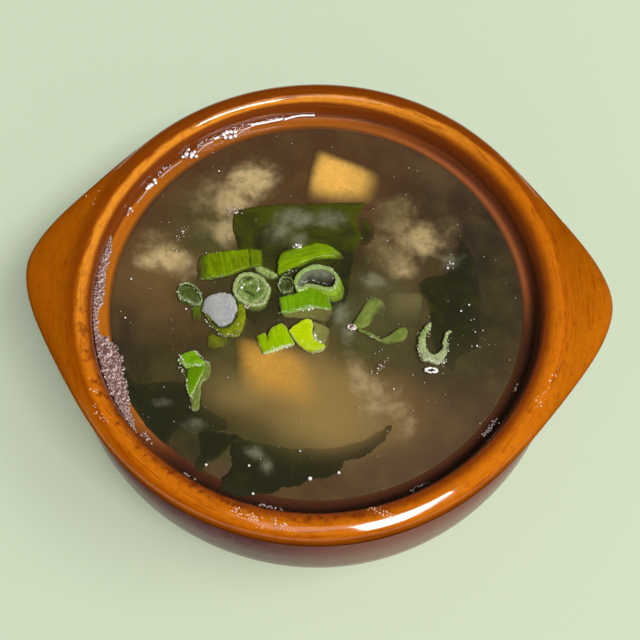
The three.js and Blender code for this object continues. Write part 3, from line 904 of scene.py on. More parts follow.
def open_ring(name, kind, wall, top, lean, line, rough=0.25):
    """A ring of leaf standing in the soup. It leans that far along x and y for each millimetre down."""
    line = smooth_line([*line, line[0]], 0.3)[:-1]
    ahead = np.roll(line, -1, axis=0) - np.roll(line, 1, axis=0)
    out = np.column_stack([-ahead[:, 1], ahead[:, 0]]) / np.linalg.norm(ahead, axis=1)[:, None]
    count, sides = len(line), 20
    turns = np.linspace(0, 2 * math.pi, sides, endpoint=False)
    across = np.sign(np.cos(turns)) * np.abs(np.cos(turns)) ** 0.5
    up = np.sign(np.sin(turns)) * np.abs(np.sin(turns)) ** 0.5
    thick = (1 + rough * (bumps_along(line, 1.1, 1) + 0.6 * bumps_along(line, 3.5, 2))) * wall / 2
    crest = top + rough * bumps_along(line, 0.9, 5)
    foot = SLICE_FOOT_Z - SOUP_Z
    height = foot + (crest - foot)[:, None] * (up + 1) / 2
    down = (crest[:, None] - height)[..., None] * np.array(lean)
    flat = line[:, None] + out[:, None] * (across * thick[:, None])[..., None] + down
    points = np.concatenate([flat, height[..., None] + SOUP_Z], axis=2).reshape(-1, 3)
    bumps = np.array([noise.noise(Vector(p) * 2.2) for p in points])
    points[:, 2] += bumps * 0.22 * (np.tile(up, count) > 0)
    faces = []
    for i in range(count):
        a, b = i * sides, (i + 1) % count * sides
        faces += [(a + k, b + k, b + (k + 1) % sides, a + (k + 1) % sides) for k in range(sides)]
    marks = {
        "course": np.repeat(np.arange(count) * 0.3, sides),
        "along": points[:, 2],
        "cut": np.clip(np.tile(up, count) * 3 - 1.8, 0, 1),
        "inner": (np.tile(across, count) < 0) * 1.0,
        "crease_shade": np.zeros(len(points)),
        "seen": np.ones(len(points)),
    }
    return float_slice(name, kind, points, faces, marks)


floating = [
    skin_up("01_arch.skin", "olive", -0.45, 0.7, 104, [
        (-31.9, 4.2), (-32.2, 7), (-31.8, 10), (-30.2, 11.1), (-27.8, 11.7), (-24.6, 12.3), (-21.1, 12.9),
        (-18.6, 13.4), (-15.8, 13.5), (-15.2, 12), (-15.1, 8.9), (-17.4, 8.1), (-20.6, 6.6), (-23.2, 5.3),
        (-25.8, 4.5), (-28.7, 3.8), (-31, 3.7),
    ], edge=0.35, melts=[(-32, 6, 1.2, 4)], shade_creases=[(-18.6, 13, -18, 8.2, 0.25)]),
    skin_up("02_sliver.skin", "frill", -0.1, 0.4, -22, [
        (-16.9, 7.7), (-15.2, 8.3), (-13.2, 7.9), (-11.2, 6.5), (-10.8, 5.5), (-12.6, 4.9), (-14.7, 5.6),
        (-16.1, 6.6),
    ], edge=0.2, weave=(1.2, 6)),
    open_ring("03_ring.skin", "pale", 1.15, 0.65, (-0.05, -0.45), [
        (-21.5, 2.4), (-20.9, 4.2), (-19.7, 5.4), (-17.9, 5.6), (-16, 5.2), (-14.3, 4.1), (-13.4, 2.9),
        (-12.5, 1.7), (-12.8, 0.1), (-13.3, -1.7), (-14.4, -3), (-16.6, -3.2), (-18.7, -2.4),
        (-20.4, -1.2), (-21.4, 0.5),
    ], rough=0.45),
    skin_up("03_ring.jelly", "pale", 0.1, 0.5, 20, [
        (-21.2, 2.4), (-20.6, 4), (-19.6, 5), (-17.9, 5.3), (-16.2, 4.9), (-14.6, 3.9), (-13.7, 2.8),
        (-12.9, 1.7), (-13.2, 0.1), (-13.7, -1.5), (-14.7, -2.6), (-16.6, -2.9), (-18.5, -2.1),
        (-20.1, -1), (-21, 0.6),
    ], edge=0.75, edge_by=2.6, bumpy=0.5, weave=(0.5, 3), inner=0.35, fade=(0.05, -0.06),
       shade_creases=[(-18.3, 4.3, -17.6, 4.6, 0.6), (-18.6, 0.4, -16.4, -0.6, 0.3)]),
    open_ring("04_ring.skin", "clear", 0.5, 0.4, (0.1, -0.5), [
        (-36.3, -0.1), (-36, 1.4), (-34.7, 2.2), (-33.1, 1.9), (-31.4, 0.8), (-30.5, -0.7), (-29.9, -2.4),
        (-30.3, -3.6), (-31.2, -3.7), (-32.9, -3.2), (-34.6, -2.4), (-35.9, -1.9),
    ], rough=0.4),
    skin_up("04_ring.membrane", "clear", -0.55, -0.25, 130, [
        (-36.2, -0.1), (-35.8, 1.2), (-34.6, 2), (-33.1, 1.7), (-31.6, 0.6), (-30.8, -0.8), (-30.2, -2.4),
        (-30.6, -3.3), (-31.3, -3.4), (-32.9, -2.9), (-34.5, -2.1), (-35.7, -1.7),
    ], edge=0.75, edge_by=1.4, weave=(0.6, 3), inner=0.45, fade=(0.13, 0), bumpy=0.3),
    skin_up("04_ring.tail", "grass", -0.7, -0.35, 90, [
        (-32.4, -4), (-31.2, -3.8), (-29.9, -4.1), (-29.6, -5.8), (-29.7, -7.6), (-30.6, -8.8),
        (-31.9, -8), (-32.3, -5.7),
    ], edge=0, inner=0.7, melts=[(-31, -9, 2.2, 2.6)]),
    skin_up("05_core.flesh", "white", 0.85, 1.15, 0, [
        (-29.4, -3.3), (-28.2, -1.7), (-26.2, -0.6), (-23.4, -0.5), (-21.4, -1.8), (-20.5, -4.2),
        (-20.6, -6.4), (-21.7, -8.5), (-23.5, -9.7), (-25.1, -9.7), (-26.4, -8.1), (-28.1, -6.7),
        (-29.4, -5.2),
    ], edge=0.5, ragged=0.35, weave=(1.7, 16), bumpy=0.05, inner=0.4, fade=(-0.12, -0.03)),
    skin_up("05_sheath.skin", "straw", -0.2, 0.7, 40, [
        (-29, -5.8), (-27.4, -8.4), (-25.4, -10.9), (-22.8, -12.3), (-20.2, -12.2), (-18.8, -10.6),
        (-18.1, -7.6), (-18.3, -5.2), (-19.5, -3), (-20.8, -4.5), (-20.6, -6.8), (-21.5, -8.8),
        (-23.4, -10), (-25.4, -9.9), (-27, -8), (-28.4, -6.6),
    ], edge=0.5, inner=0.55, fade=(-0.13, -0.02),
       shade_creases=[(-26.6, -8.7, -24.8, -10.1, 0.4), (-24.8, -10.1, -22.4, -9.9, 0.5),
                (-22.4, -9.9, -20.4, -6.9, 0.55), (-20.4, -6.9, -20.3, -4.4, 0.3)]),
    skin_up("05_sheath.shred", "straw", -0.75, -0.4, 60, [
        (-27.6, -12.6), (-26.6, -10.9), (-24.9, -12.1), (-22.6, -12.4), (-21.1, -13.2), (-22.3, -14.9),
        (-24.3, -15.3), (-26.2, -16.1), (-27.4, -14.9),
    ], edge=0.2, inner=0.4, bumpy=0.3, melts=[(-21, -14.5, 2, 2), (-26.5, -16.4, 2, 1.6)]),
    skin_up("06_crescent.skin", "fern", -0.35, 1.2, 22, [
        (-10.2, 12.9), (-7.1, 14.5), (-4.8, 15.3), (-1.8, 16.1), (1.4, 15.7), (4.2, 14.1), (6.8, 12),
        (1.8, 11.5), (-0.8, 10.9), (-3.1, 9.8), (-5.4, 8.5), (-7.3, 6.9), (-10, 6), (-10.6, 7.5),
        (-10.6, 10.4),
    ], edge=0.15, melts=[(7.2, 12, 3, 1.4)],
       shade_creases=[(-9.6, 5.8, -5, 8.3, 0.3), (-5, 8.3, -0.8, 10.6, 0.3)]),
    open_ring("07_ring.skin", "stem", 1.05, 1.5, (0.7, -1.0), [
        (-5.9, 3.4), (-5.3, 5.4), (-3.9, 7.1), (-1.7, 8.3), (0.8, 8.5), (3, 7.8), (4.5, 6.4), (5, 4.7),
        (4.7, 3.1), (3.7, 2.2), (1.9, 2.1), (-0.3, 2.6), (-2.4, 2.9), (-3.9, 2), (-5.2, 1.9),
    ]),
    skin_up("07_ring.inside", "hollow", 0, 0, 90, [
        (-5.6, 3.3), (-5, 5.2), (-3.7, 6.8), (-1.7, 8), (0.8, 8.2), (2.9, 7.5), (4.3, 6.2), (4.7, 4.6),
        (4.4, 3.2), (3.6, 2.5), (1.9, 2.4), (-0.3, 2.9), (-2.4, 3.2), (-3.9, 2.4), (-5, 2.3),
    ], edge=0, slope=(0, 0.33), inner=0.68, fade=(0, -0.26), bumpy=0.2),
    open_ring("08_ring.skin", "clear", 0.45, 0.3, (0.1, -0.3), [
        (-10.2, 2.9), (-9.8, 4.6), (-8.8, 5.4), (-7.4, 5.2), (-6.6, 4.3), (-6.4, 2.5), (-7, 1.4),
        (-8.6, 1.1), (-9.7, 1.6),
    ], rough=0.5),
    skin_up("08_ring.membrane", "clear", -0.5, -0.3, 60, [
        (-10, 2.9), (-9.6, 4.4), (-8.7, 5.1), (-7.5, 4.9), (-6.8, 4.1), (-6.6, 2.6), (-7.2, 1.6),
        (-8.6, 1.3), (-9.5, 1.8),
    ], edge=0.75, edge_by=1.2, weave=(0.6, 3), inner=0.5, bumpy=0.3,
       shade_creases=[(-7.6, 3.9, -7.9, 2.4, 0.4)]),
    skin_up("09_arch.skin", "grass", 0.25, 1.05, 96, [
        (-9.9, -0.7), (-7.5, -0.1), (-4.9, 0.5), (-3.4, 1.6), (-1.6, 2.6), (0.2, 2.9), (2, 2.3), (2.9, 1),
        (3.5, -1.3), (4.1, -3.3), (2.9, -3.7), (1.1, -3.4), (-1.5, -3.5), (-4.6, -4.5), (-8.6, -5.3),
        (-9.4, -2.8),
    ], edge=0.7, inner=0.25, fade=(0.05, 0)),
    skin_up("09_arch.flesh", "cut", -0.5, -0.05, 0, [
        (-8.7, -4.6), (-4.7, -3.8), (-0.8, -3), (3.7, -3.1), (4, -5.1), (2.4, -6.8), (-1.3, -6.1),
        (-4.5, -6.1), (-8.2, -5.9),
    ], edge=0.1, inner=0.2, fade=(0.07, -0.1), melts=[(4.2, -6, 1.4, 1.6)]),
    skin_up("10_arch.skin", "lime", 0.1, 0.95, 107, [
        (-15, -11.9), (-12.9, -11.1), (-12.1, -12), (-11.2, -9.9), (-8.8, -8.4), (-7.5, -9),
        (-6.6, -10.7), (-5, -13.2), (-5.4, -13.9), (-8, -15.1), (-12.4, -16.9), (-13.5, -15.6),
    ], edge=0.9, shade_creases=[(-12.1, -11.9, -11.7, -13.4, 0.18)], inner=0.35, fade=(-0.08, 0)),
    skin_up("11_tube.skin", "yellow", 0.0, 1.2, 4, [
        (-6.6, -10.4), (-5.1, -8.5), (-2.9, -6.6), (-1.1, -6.5), (-0.5, -8.9), (-0.6, -11.1),
        (0.7, -12.8), (2.9, -13.8), (2.5, -15), (0.2, -15.8), (-2.4, -15), (-4.2, -13.6),
    ], edge=0.7, inner=0.25, fade=(0, -0.1)),
    skin_up("11_tube.flesh", "cut", -0.3, 0.8, 20, [
        (-1.6, -6.6), (1.5, -8), (3.6, -9.3), (4.4, -11.9), (3.4, -14.4), (2.2, -14.4), (0.2, -13),
        (-0.5, -11.2), (-0.4, -8.9),
    ], edge=0.1, inner=0.3, fade=(0.15, 0), melts=[(4.6, -12, 1.3, 3)]),
    skin_up("12_curl.skin", "grass", 0.25, 0.9, 20, [
        (-33.9, -19.5), (-33.6, -18.1), (-32.1, -17.4), (-30.3, -16.9), (-29.4, -17.9), (-28.6, -19),
        (-27.7, -19.7), (-27.4, -20.8), (-28.6, -21.6), (-30.4, -21.7), (-31.9, -21.7), (-32.9, -21),
    ], edge=1.0),
    skin_up("12_curl.fold", "grass", -0.1, 0.6, 80, [
        (-31.9, -21.4), (-30.4, -21.4), (-28.6, -21.3), (-27.3, -20.7), (-27, -21.5), (-27.5, -22.7),
        (-28.2, -24.7), (-28.9, -26.6), (-29.6, -28.5), (-30, -29.6), (-30.7, -28.8), (-31.2, -27.5),
        (-31.7, -25.7), (-31.7, -23.8),
    ], edge=1.0, inner=0.6),
    skin_up("12_curl.membrane", "flimsy", -0.25, 0.2, 80, [
        (-27.6, -19.4), (-26.6, -19.6), (-26, -20.5), (-25.8, -21.9), (-26.3, -24.1), (-27.7, -25.4),
        (-27.7, -27.6), (-27.8, -30), (-27.7, -31.9), (-28.4, -32.8), (-29.4, -32.7), (-29.8, -31.1),
        (-30.4, -29.9), (-29.7, -28.7), (-29, -26.4), (-28.1, -24.4), (-27.5, -22.5),
    ], edge=1.0, ragged=0.2),
    skin_up("13_strip.skin", "flimsy", -0.4, 0.1, 53, [
        (9.2, -8), (10.4, -5.8), (11.6, -3.2), (13.2, -0.2), (14.9, 1.1), (16.9, 0), (18.2, -1.8),
        (17.4, -2.9), (15.6, -4.1), (14.7, -6), (13.4, -7.6), (11.8, -8.2), (10, -8.8),
    ], edge=0.3, melts=[(17.5, -3, 1.6, 2.2), (15.6, -6, 1, 2)]),
    skin_up("13_strip.leaf", "flimsy", -0.35, 0.15, 15, [
        (11.2, -8.2), (13.8, -9.1), (15.5, -10), (16.8, -11), (18.1, -10.5), (20.4, -8.9), (21.7, -7.8),
        (23.3, -7.5), (24, -8.8), (23.4, -10.6), (21.7, -11.7), (19.8, -12.4), (17.8, -12.1),
        (16.5, -11.5), (14.5, -10.4), (11.4, -9),
    ], edge=0.5, melts=[(21, -12.6, 3, 0.8)]),
    skin_up("14_open_ring.skin", "frill", 0.3, 0.5, 90, [
        (30.2, -5.7), (28.2, -7.4), (26.9, -10), (26.6, -12.9), (27.6, -16.1), (29.6, -16.9),
        (31.5, -17.4), (33.1, -16.5), (34, -14.3), (34.1, -10.8), (34.5, -8.9), (35.4, -8.2),
        (34.8, -7.7), (33.8, -8.6), (33, -10.8), (33, -12.6), (32, -14.2), (30.2, -14.8), (29, -13.5),
        (28.6, -11.4), (29.1, -8.8), (30.2, -7),
    ], ragged=0.28, edge=0.4, bumpy=0.35, weave=(1.2, 8), inner=0.2, fade=(0, -0.08)),
]

# ---- Clear top of the soup
# The top millimetre of the stock, which is clear enough to look through. It creeps up the wall of
# the bowl and up the side of each floating slice.
FILM_R = MOUTH_R + 0.5
CREEP = 0.8
CREEP_FADE = 0.55


def film_finish():
    material, wire = new_finish("clear_stock")
    place = wire.place()
    x, y, z = place.axes()
    ripple = place.grain(0.12, 2, 0.4)
    top = z.between(SOUP_Z - 0.6, SOUP_Z - 0.3)
    haze = (((x * x + y * y) ** 0.5).between(LEDGE_R - 1, LEDGE_R + 2) * 0.02 + 0.03) * top
    see_through = wire.node("BsdfTransparent", {}, {})
    stock = wire.glossy({"Base Color": colour(150, 120, 84), "Roughness": 0.6, "Specular IOR Level": 0.0})
    inner = wire.node("MixShader", {}, {0: haze, 1: see_through, 2: stock})
    normal = ripple.relief(0.2)
    mirror = wire.node("BsdfGlossy", {}, {"Color": (1, 1, 1, 1), "Roughness": 0.03, "Normal": normal})
    glance = wire.node("Fresnel", {}, {"IOR": 1.33}) * top
    return show(material, wire.node("MixShader", {}, {0: glance, 1: inner, 2: mirror}))


def make_film():
    """A turned slab, finer towards the wall, whose top is lifted where the soup creeps up."""
    around = 480
    radii = [*np.arange(0, MOUTH_R - 3, 0.55), *(FILM_R - 3.4 * np.linspace(1, 0, 22) ** 1.6)]
    under = [(FILM_R, SOUP_Z - 0.9), (LEDGE_R, SOUP_Z - 1.6), (0, SOUP_Z - 1.6)]
    profile = [*((r, SOUP_Z) for r in radii), *under][::-1]
    points, faces = lathe(profile, around)
    radius = np.hypot(points[:, 0], points[:, 1])
    turn = np.arctan2(points[:, 1], points[:, 0])
    shift = out_of_round(turn) * np.clip((radius - LEDGE_R) / (MOUTH_R - LEDGE_R), 0, 1)
    waterline = [
        v.co / MM for piece in floating for v in piece.data.vertices
        if abs(v.co.z / MM - SOUP_Z) < 0.4
    ]
    tree = kdtree.KDTree(len(waterline))
    for i, p in enumerate(waterline):
        tree.insert((p[0], p[1], 0), i)
    tree.balance()
    for i in np.flatnonzero(points[:, 2] > SOUP_Z - 0.5):
        gap = tree.find((points[i, 0], points[i, 1], 0))[2]
        around_wall = Vector((math.cos(turn[i]), math.sin(turn[i]), 0))
        creep = CREEP * (1 + 0.5 * noise.noise(around_wall * 9) + 0.3 * noise.noise(around_wall * 30))
        wall = max(MOUTH_R - radius[i], 0)
        points[i, 2] += 0.3 * math.exp(-gap / 0.6) + creep * math.exp(-wall / CREEP_FADE)
    points[:, :2] *= (1 + shift / np.maximum(radius, 1))[:, None]
    make_piece("clear_stock", points, faces, film_finish(), "broth")


make_film()

# ---- Foam and bubbles
# Froth from the whisked miso. It clings to the left wall in a drift of fine bubbles round two big
# ones, and single bubbles sit along the waterline and out on the soup. White beads and rings along the
# waterline and on the slices are painted glints of the lamp.
froth_drift = [
    # azimuth in degrees, and how far the froth reaches in from the wall
    (165, 0.1), (168, 1.3), (173, 1.8), (180, 2.2), (184, 2.2), (188, 1.0), (191, 0.7), (193.5, 1.2),
    (196, 3.4), (199, 5.2), (203, 5.4), (207, 4.9), (211, 4.4), (215, 3.0), (219, 1.4), (223, 0.1),
]
big_bubbles = [
    # x, y, radius
    (-52.5, -18.6, 1.4), (-50.5, -22.6, 1.15), (-54.2, -16.2, 0.6), (-48.8, -19.6, 0.5),
    (-52.9, -23.6, 0.5), (-48.4, -29.2, 0.75), (-47.0, -27.6, 0.5), (-57.1, 5.0, 0.55), (-57.3, 1.6, 0.6),
    (-57.2, -3.0, 0.55), (-56.6, 8.4, 0.5), (-17.9, -3.8, 0.5), (9.6, -8.3, 0.8), (-23.2, 24.6, 0.6),
]
bubble_rows = [
    # azimuth, radius and half sizes of a cluster round and across, how many bubbles
    (140, 57.4, 3.0, 0.6, 20), (127.4, 57.6, 3.4, 0.6, 22), (114.3, 57.6, 3.4, 0.5, 24),
    (106, 57.6, 4.6, 0.3, 20), (146, 57.0, 1.6, 0.7, 18), (132, 57.2, 1.6, 0.7, 16),
    (119, 57.4, 1.6, 0.7, 16), (156, 57.3, 1.4, 0.4, 8), (225.7, 56.8, 1.8, 0.6, 20),
    (322.5, 56.0, 3.4, 0.7, 46), (336, 56.2, 1.4, 0.5, 14), (262.5, 57.0, 3.4, 0.3, 20),
    (241, 57.2, 2.0, 0.3, 12), (299, 56.6, 4.0, 0.5, 12), (133, 34.5, 2.4, 2.0, 26),
    (156, 41, 3.4, 1.1, 26), (312, 25.5, 2.6, 1.0, 20), (17, 37, 1.6, 0.6, 7), (112, 16, 1.4, 0.8, 14),
    (348, 44, 4, 4, 12),
]
single_bubbles = [
    (0.9, -48.9, 0.5), (7.8, -47.1, 0.4), (-12.6, -53.3, 0.36), (-14.1, -46.4, 0.32),
    (-24.5, -46.7, 0.36), (-1.9, -42.1, 0.24), (20.7, -24.7, 0.22), (-23.4, -4.1, 0.2),
    (-33.7, -5.2, 0.26), (-49.1, 2.8, 0.3), (-49.2, -8.5, 0.26), (-29, 37.5, 0.26), (34.4, 10.3, 0.34),
    (35.8, 11.6, 0.28), (33.3, -17, 0.3), (37.8, -2.2, 0.28), (39.9, -0.3, 0.26), (41.8, -11.9, 0.28),
]
glint_beads = [
    # x, y, radius of beads on the wall, painted white as glints of the lamp
    (-48.2, 30.7, 0.45), (-47.8, 31.3, 0.5), (-47.2, 31.9, 0.5), (-46.5, 33.5, 0.45), (-46.1, 32.7, 0.4),
    (-39.5, 41.5, 0.4), (-38.6, 42.4, 0.55), (-38.1, 43.7, 0.4), (-37, 42.5, 0.55), (-36.4, 43.4, 0.4),
    (-35.8, 42, 0.45), (-37.2, 41.7, 0.4), (-31, 48.1, 0.4), (-30.3, 48.5, 0.4), (-28.8, 49.6, 0.5),
    (-27.9, 50.3, 0.55), (-26.8, 50.6, 0.5), (-25.6, 50.7, 0.5), (-28.2, 48.7, 0.5), (-26.8, 48.9, 0.55),
    (-25.5, 49.4, 0.5), (-52, 24.1, 0.36), (-51.4, 23.4, 0.22), (-52.5, 22.1, 0.2),
]
glint_lines = [
    # points along a line of beads so close that they read as one, and their radius; painted glints of the
    # lamp along the waterline
    ([(-21.1, 53.3), (-17.1, 54.4), (-12.7, 55.8)], 0.42),
    ([(-11.8, 55.7), (-9.8, 56.5), (-7.3, 57.1), (-3.6, 57.4)], 0.36),
    ([(-50.4, 26.1), (-49.3, 28), (-48.3, 30)], 0.13),
    ([(-44.8, 34.7), (-42.4, 37.6), (-39.8, 40.1)], 0.13),
    ([(-35.5, 43.4), (-33.8, 45.4), (-31.6, 47)], 0.13),
    ([(-25, 49.8), (-23.4, 51.3), (-21.7, 52.3)], 0.13),
]
edge_beads = [
    # two ends of a line along the edge of a slice, how many bubbles
    (-33.9, -18.4, -31.9, -21.6, 22), (-32.2, -20.9, -28.2, -21, 28), (-30.2, -16.9, -28.2, -19, 16),
    (-27.7, -19.3, -26.2, -20.6, 10), (-31.8, -23.8, -30.9, -28.4, 16), (-28.9, -26.6, -29.8, -29.8, 14),
    (-30.3, -31.5, -29.4, -32.9, 6), (-8.8, -15.2, -5.8, -14.1, 28), (-12.3, -16.8, -8.8, -15.3, 8),
    (-6.4, 14.1, -4.9, 15.1, 24), (-4.8, 3.6, -1.6, 4.8, 12), (-1.6, 4.8, 2.6, 4, 12),
    (-3.6, -3, -1.4, -2.8, 8), (-0.1, -11.9, 0.4, -12.7, 7), (-20.4, 4, -19.8, 2.9, 7),
    (-15.8, 2.3, -15.2, 1.6, 4), (-21.8, 0.4, -20.4, -1.6, 14), (-20, -2, -16.6, -3.8, 18),
    (-16.6, -3.8, -13.2, -2.4, 16), (-12.6, 1.6, -13.4, 3.2, 10), (-18.4, 3.4, -15.4, 2.6, 8),
    (-36.6, 0, -35, -2.4, 14), (-35, -2.4, -31.4, -4, 20), (-36, 1.8, -33.4, 2.3, 12),
    (-33, 2, -30, -1.6, 14), (-10.4, 2.2, -9.4, 5, 16), (-9, 0.8, -6.6, 1.4, 14),
    (-5.6, 1.9, -2.6, 3, 16), (4.6, 2.6, 5.6, 5.4, 12), (5.6, 5.4, 2.4, 9, 16),
    (-34.2, -19.6, -32.4, -23.6, 22), (26.4, -12, 27.6, -16.6, 22), (34.3, -14.6, 34.2, -10.4, 20),
    (-30.4, -2.6, -29.6, -5.4, 8), (-28.8, -8, -26, -10.6, 14), (-26, -10.8, -22.8, -12.6, 14),
    (29.6, -6.4, 29.5, -10.6, 14), (26.9, -9, 26.9, -13.8, 14), (27.8, -16.4, 33, -17.1, 34),
    (34.3, -8.6, 35.5, -8, 7), (33.9, -15.8, 33, -17.4, 7), (14.4, -10.6, 16.9, -11.2, 9),
    (12.8, -0.9, 14.8, 0.9, 5), (-21.3, -11.4, -19.1, -8, 3), (-9.6, -5, -4.6, -4.2, 12),
    (-4.6, -4.2, -1, -3.2, 12), (-1, -3.2, 3.6, -3.4, 9), (-13.2, -17, -8.6, -15.4, 24),
    (-8.6, -15.4, -5.2, -14.2, 20), (-0.2, -15.8, 2.6, -14.4, 14), (0, -11, 1.8, -13.4, 16),
    (-9.9, 5.2, -5.6, 8, 16), (-31, 3.8, -25, 4.6, 16), (-31.6, 11, -27, 12, 6),
    (-24, -12.2, -20, -12, 12), (4.8, 6.4, 3.4, 8.6, 10), (1.6, 8.8, -2.4, 8.6, 12),
]
wet_glints = [
    # x, y, radius of drops on the slices, painted white as glints of the lamp
    (-19.7, 1.5, 0.4), (-19.2, 2.3, 0.26), (-15.3, 1.3, 0.36), (-15.6, 0.8, 0.24), (4.1, 5.6, 0.26),
    (-3.3, -4.2, 0.24), (-1.8, -3.8, 0.42), (-0.9, -3.5, 0.3), (0.2, -11.4, 0.3), (1.6, -13, 0.34),
    (-0.7, -10, 0.26), (-9.3, -15.8, 0.22), (-6.8, -14.8, 0.24), (-6.2, 15.2, 0.4), (-5.1, 14.5, 0.42),
    (-5.6, 15, 0.3),
]
bubble_rings = [
    # middle, half sizes, how many bubbles; painted partly white as glints, the first ring for the lamp's
    # glint on the soup
    (30.1, -19.2, 1.5, 0.6, 90), (9.6, -8.3, 0.9, 0.7, 26), (-17.9, -3.8, 0.5, 0.4, 10),
]
LARGE = 0.45
SQUASH = 0.8
LAMP_WAY = (0.28, -0.5, 0.82)
GLINT_WIDTHS = (0.2, 0.34, 0.8, 1.0), (0.12, 0.05, 0.04, 0.015)


def foam_finish():
    material, wire = new_finish("foam")
    place = wire.place()
    crown = wire.mark("crown")
    big = wire.mark("radius").between(0.2, 0.45) * (1.0 - wire.mark("leafy"))
    mauve = place.grain(0.9, 4).between(0.35, 0.65).blend(colour(128, 90, 82), colour(206, 182, 176))
    # painted reflection: a pale ring round the sides of the big bubbles
    mauve = (crown.between(0.75, 0.5) * big * 0.7).blend(mauve, colour(226, 206, 202))
    tone = wire.mark("leafy").blend(mauve, colour(212, 226, 178))
    dark = place.grain(2.0).between(0.3, 0.7).blend(colour(96, 58, 50), colour(140, 98, 90))
    tone = (crown.between(0.64, 0.8) * big * 0.9).blend(tone, dark)
    # painted glint: white where a dome faces the lamp, on the glint beads, and on the tops of small bubbles
    wet = (wire.mark("wet") + crown.between(0.6, 0.95) * (1.0 - big) * 0.3).between(0.0, 1.0)
    tone = wet.blend(tone, colour(255, 252, 250))
    shell = 1.0 - wire.mark("leafy") * (1.0 - wet) * 0.45
    rough = place.grain(2.0) * 0.2 + 0.1
    skin = wire.glossy({"Base Color": tone, "Roughness": rough, "Coat Weight": 1.0 - big * 0.85})
    clear = wire.node("BsdfTransparent", {}, {})
    return show(material, wire.node("MixShader", {}, {0: shell, 1: clear, 2: skin}))


def dome_mesh(spots, around, rows):
    """Points and faces of little domes, closed underneath, and their marks.

    Each spot is x, y, z and radius, then 1 if it sits on a leaf, and how much painted glint turns it white;
    each dome also gets a painted glint on the side that faces the lamp."""
    tilts = np.linspace(0, math.pi / 2, rows, endpoint=False) ** 1.15
    turns = np.linspace(0, 2 * math.pi, around, endpoint=False)
    shape = [
        (math.cos(a) * math.cos(t), math.cos(a) * math.sin(t), math.sin(a)) for a in tilts for t in turns
    ]
    shape = np.array([*shape, (0, 0, 1), (0, 0, -0.2)])
    quads = [(k + i, k + (i + 1) % around, k + around + (i + 1) % around, k + around + i)
             for k in range(0, (rows - 1) * around, around) for i in range(around)]
    top, last = rows * around, (rows - 1) * around
    caps = [(last + i, last + (i + 1) % around, top) for i in range(around)]
    caps += [((i + 1) % around, i, top + 1) for i in range(around)]
    spots = np.array(spots)
    squashed = shape * (1, 1, SQUASH)
    points = (spots[:, None, :3] + squashed[None] * spots[:, None, 3:4]).reshape(-1, 3)
    faces = [tuple(i + n * len(shape) for i in face) for n in range(len(spots)) for face in quads + caps]
    lamp_facing = np.tile(shape @ np.array(LAMP_WAY), len(spots))
    radius, leafy, wet = (np.repeat(spots[:, k], len(shape)) for k in (3, 4, 5))
    glint = (lamp_facing - 1) / np.interp(radius, *GLINT_WIDTHS) + 1
    return points, faces, {
        "radius": radius,
        "leafy": leafy,
        "crown": np.tile(np.clip(shape[:, 2], 0, 1), len(spots)),
        "wet": np.maximum(np.clip(glint, 0, 1), wet),
    }


def spread(tries, draw, taken):
    """Bubbles from a draw that each keep clear of the ones before."""
    kept = list(taken)
    for _ in range(tries):
        x, y, radius = draw()
        others = np.array(kept)
        if np.all(np.hypot(others[:, 0] - x, others[:, 1] - y) > 0.8 * (others[:, 2] + radius)):
            kept.append((x, y, radius))
    return kept


def surface(x, y):
    """The height of the soup's own surface there, with its creep up the wall."""
    wall = np.maximum(MOUTH_R - np.hypot(x, y), 0)
    return SOUP_Z + 0.02 + CREEP * np.exp(-wall / CREEP_FADE)


def slices_skin():
    """The tops of all the slices, to find how high a drop on them stands."""
    points, faces = [], []
    for piece in floating:
        faces += [[i + len(points) for i in face.vertices] for face in piece.data.polygons]
        points += [v.co / MM for v in piece.data.vertices]
    return bvhtree.BVHTree.FromPolygons(points, faces)


def strewn(luck, x0, y0, x1, y1, count, stray):
    """Places by chance along a line, each a little off it."""
    for t in luck.uniform(0, 1, count):
        yield np.array([x0, y0]) * (1 - t) + np.array([x1, y1]) * t + luck.normal(0, stray, 2)


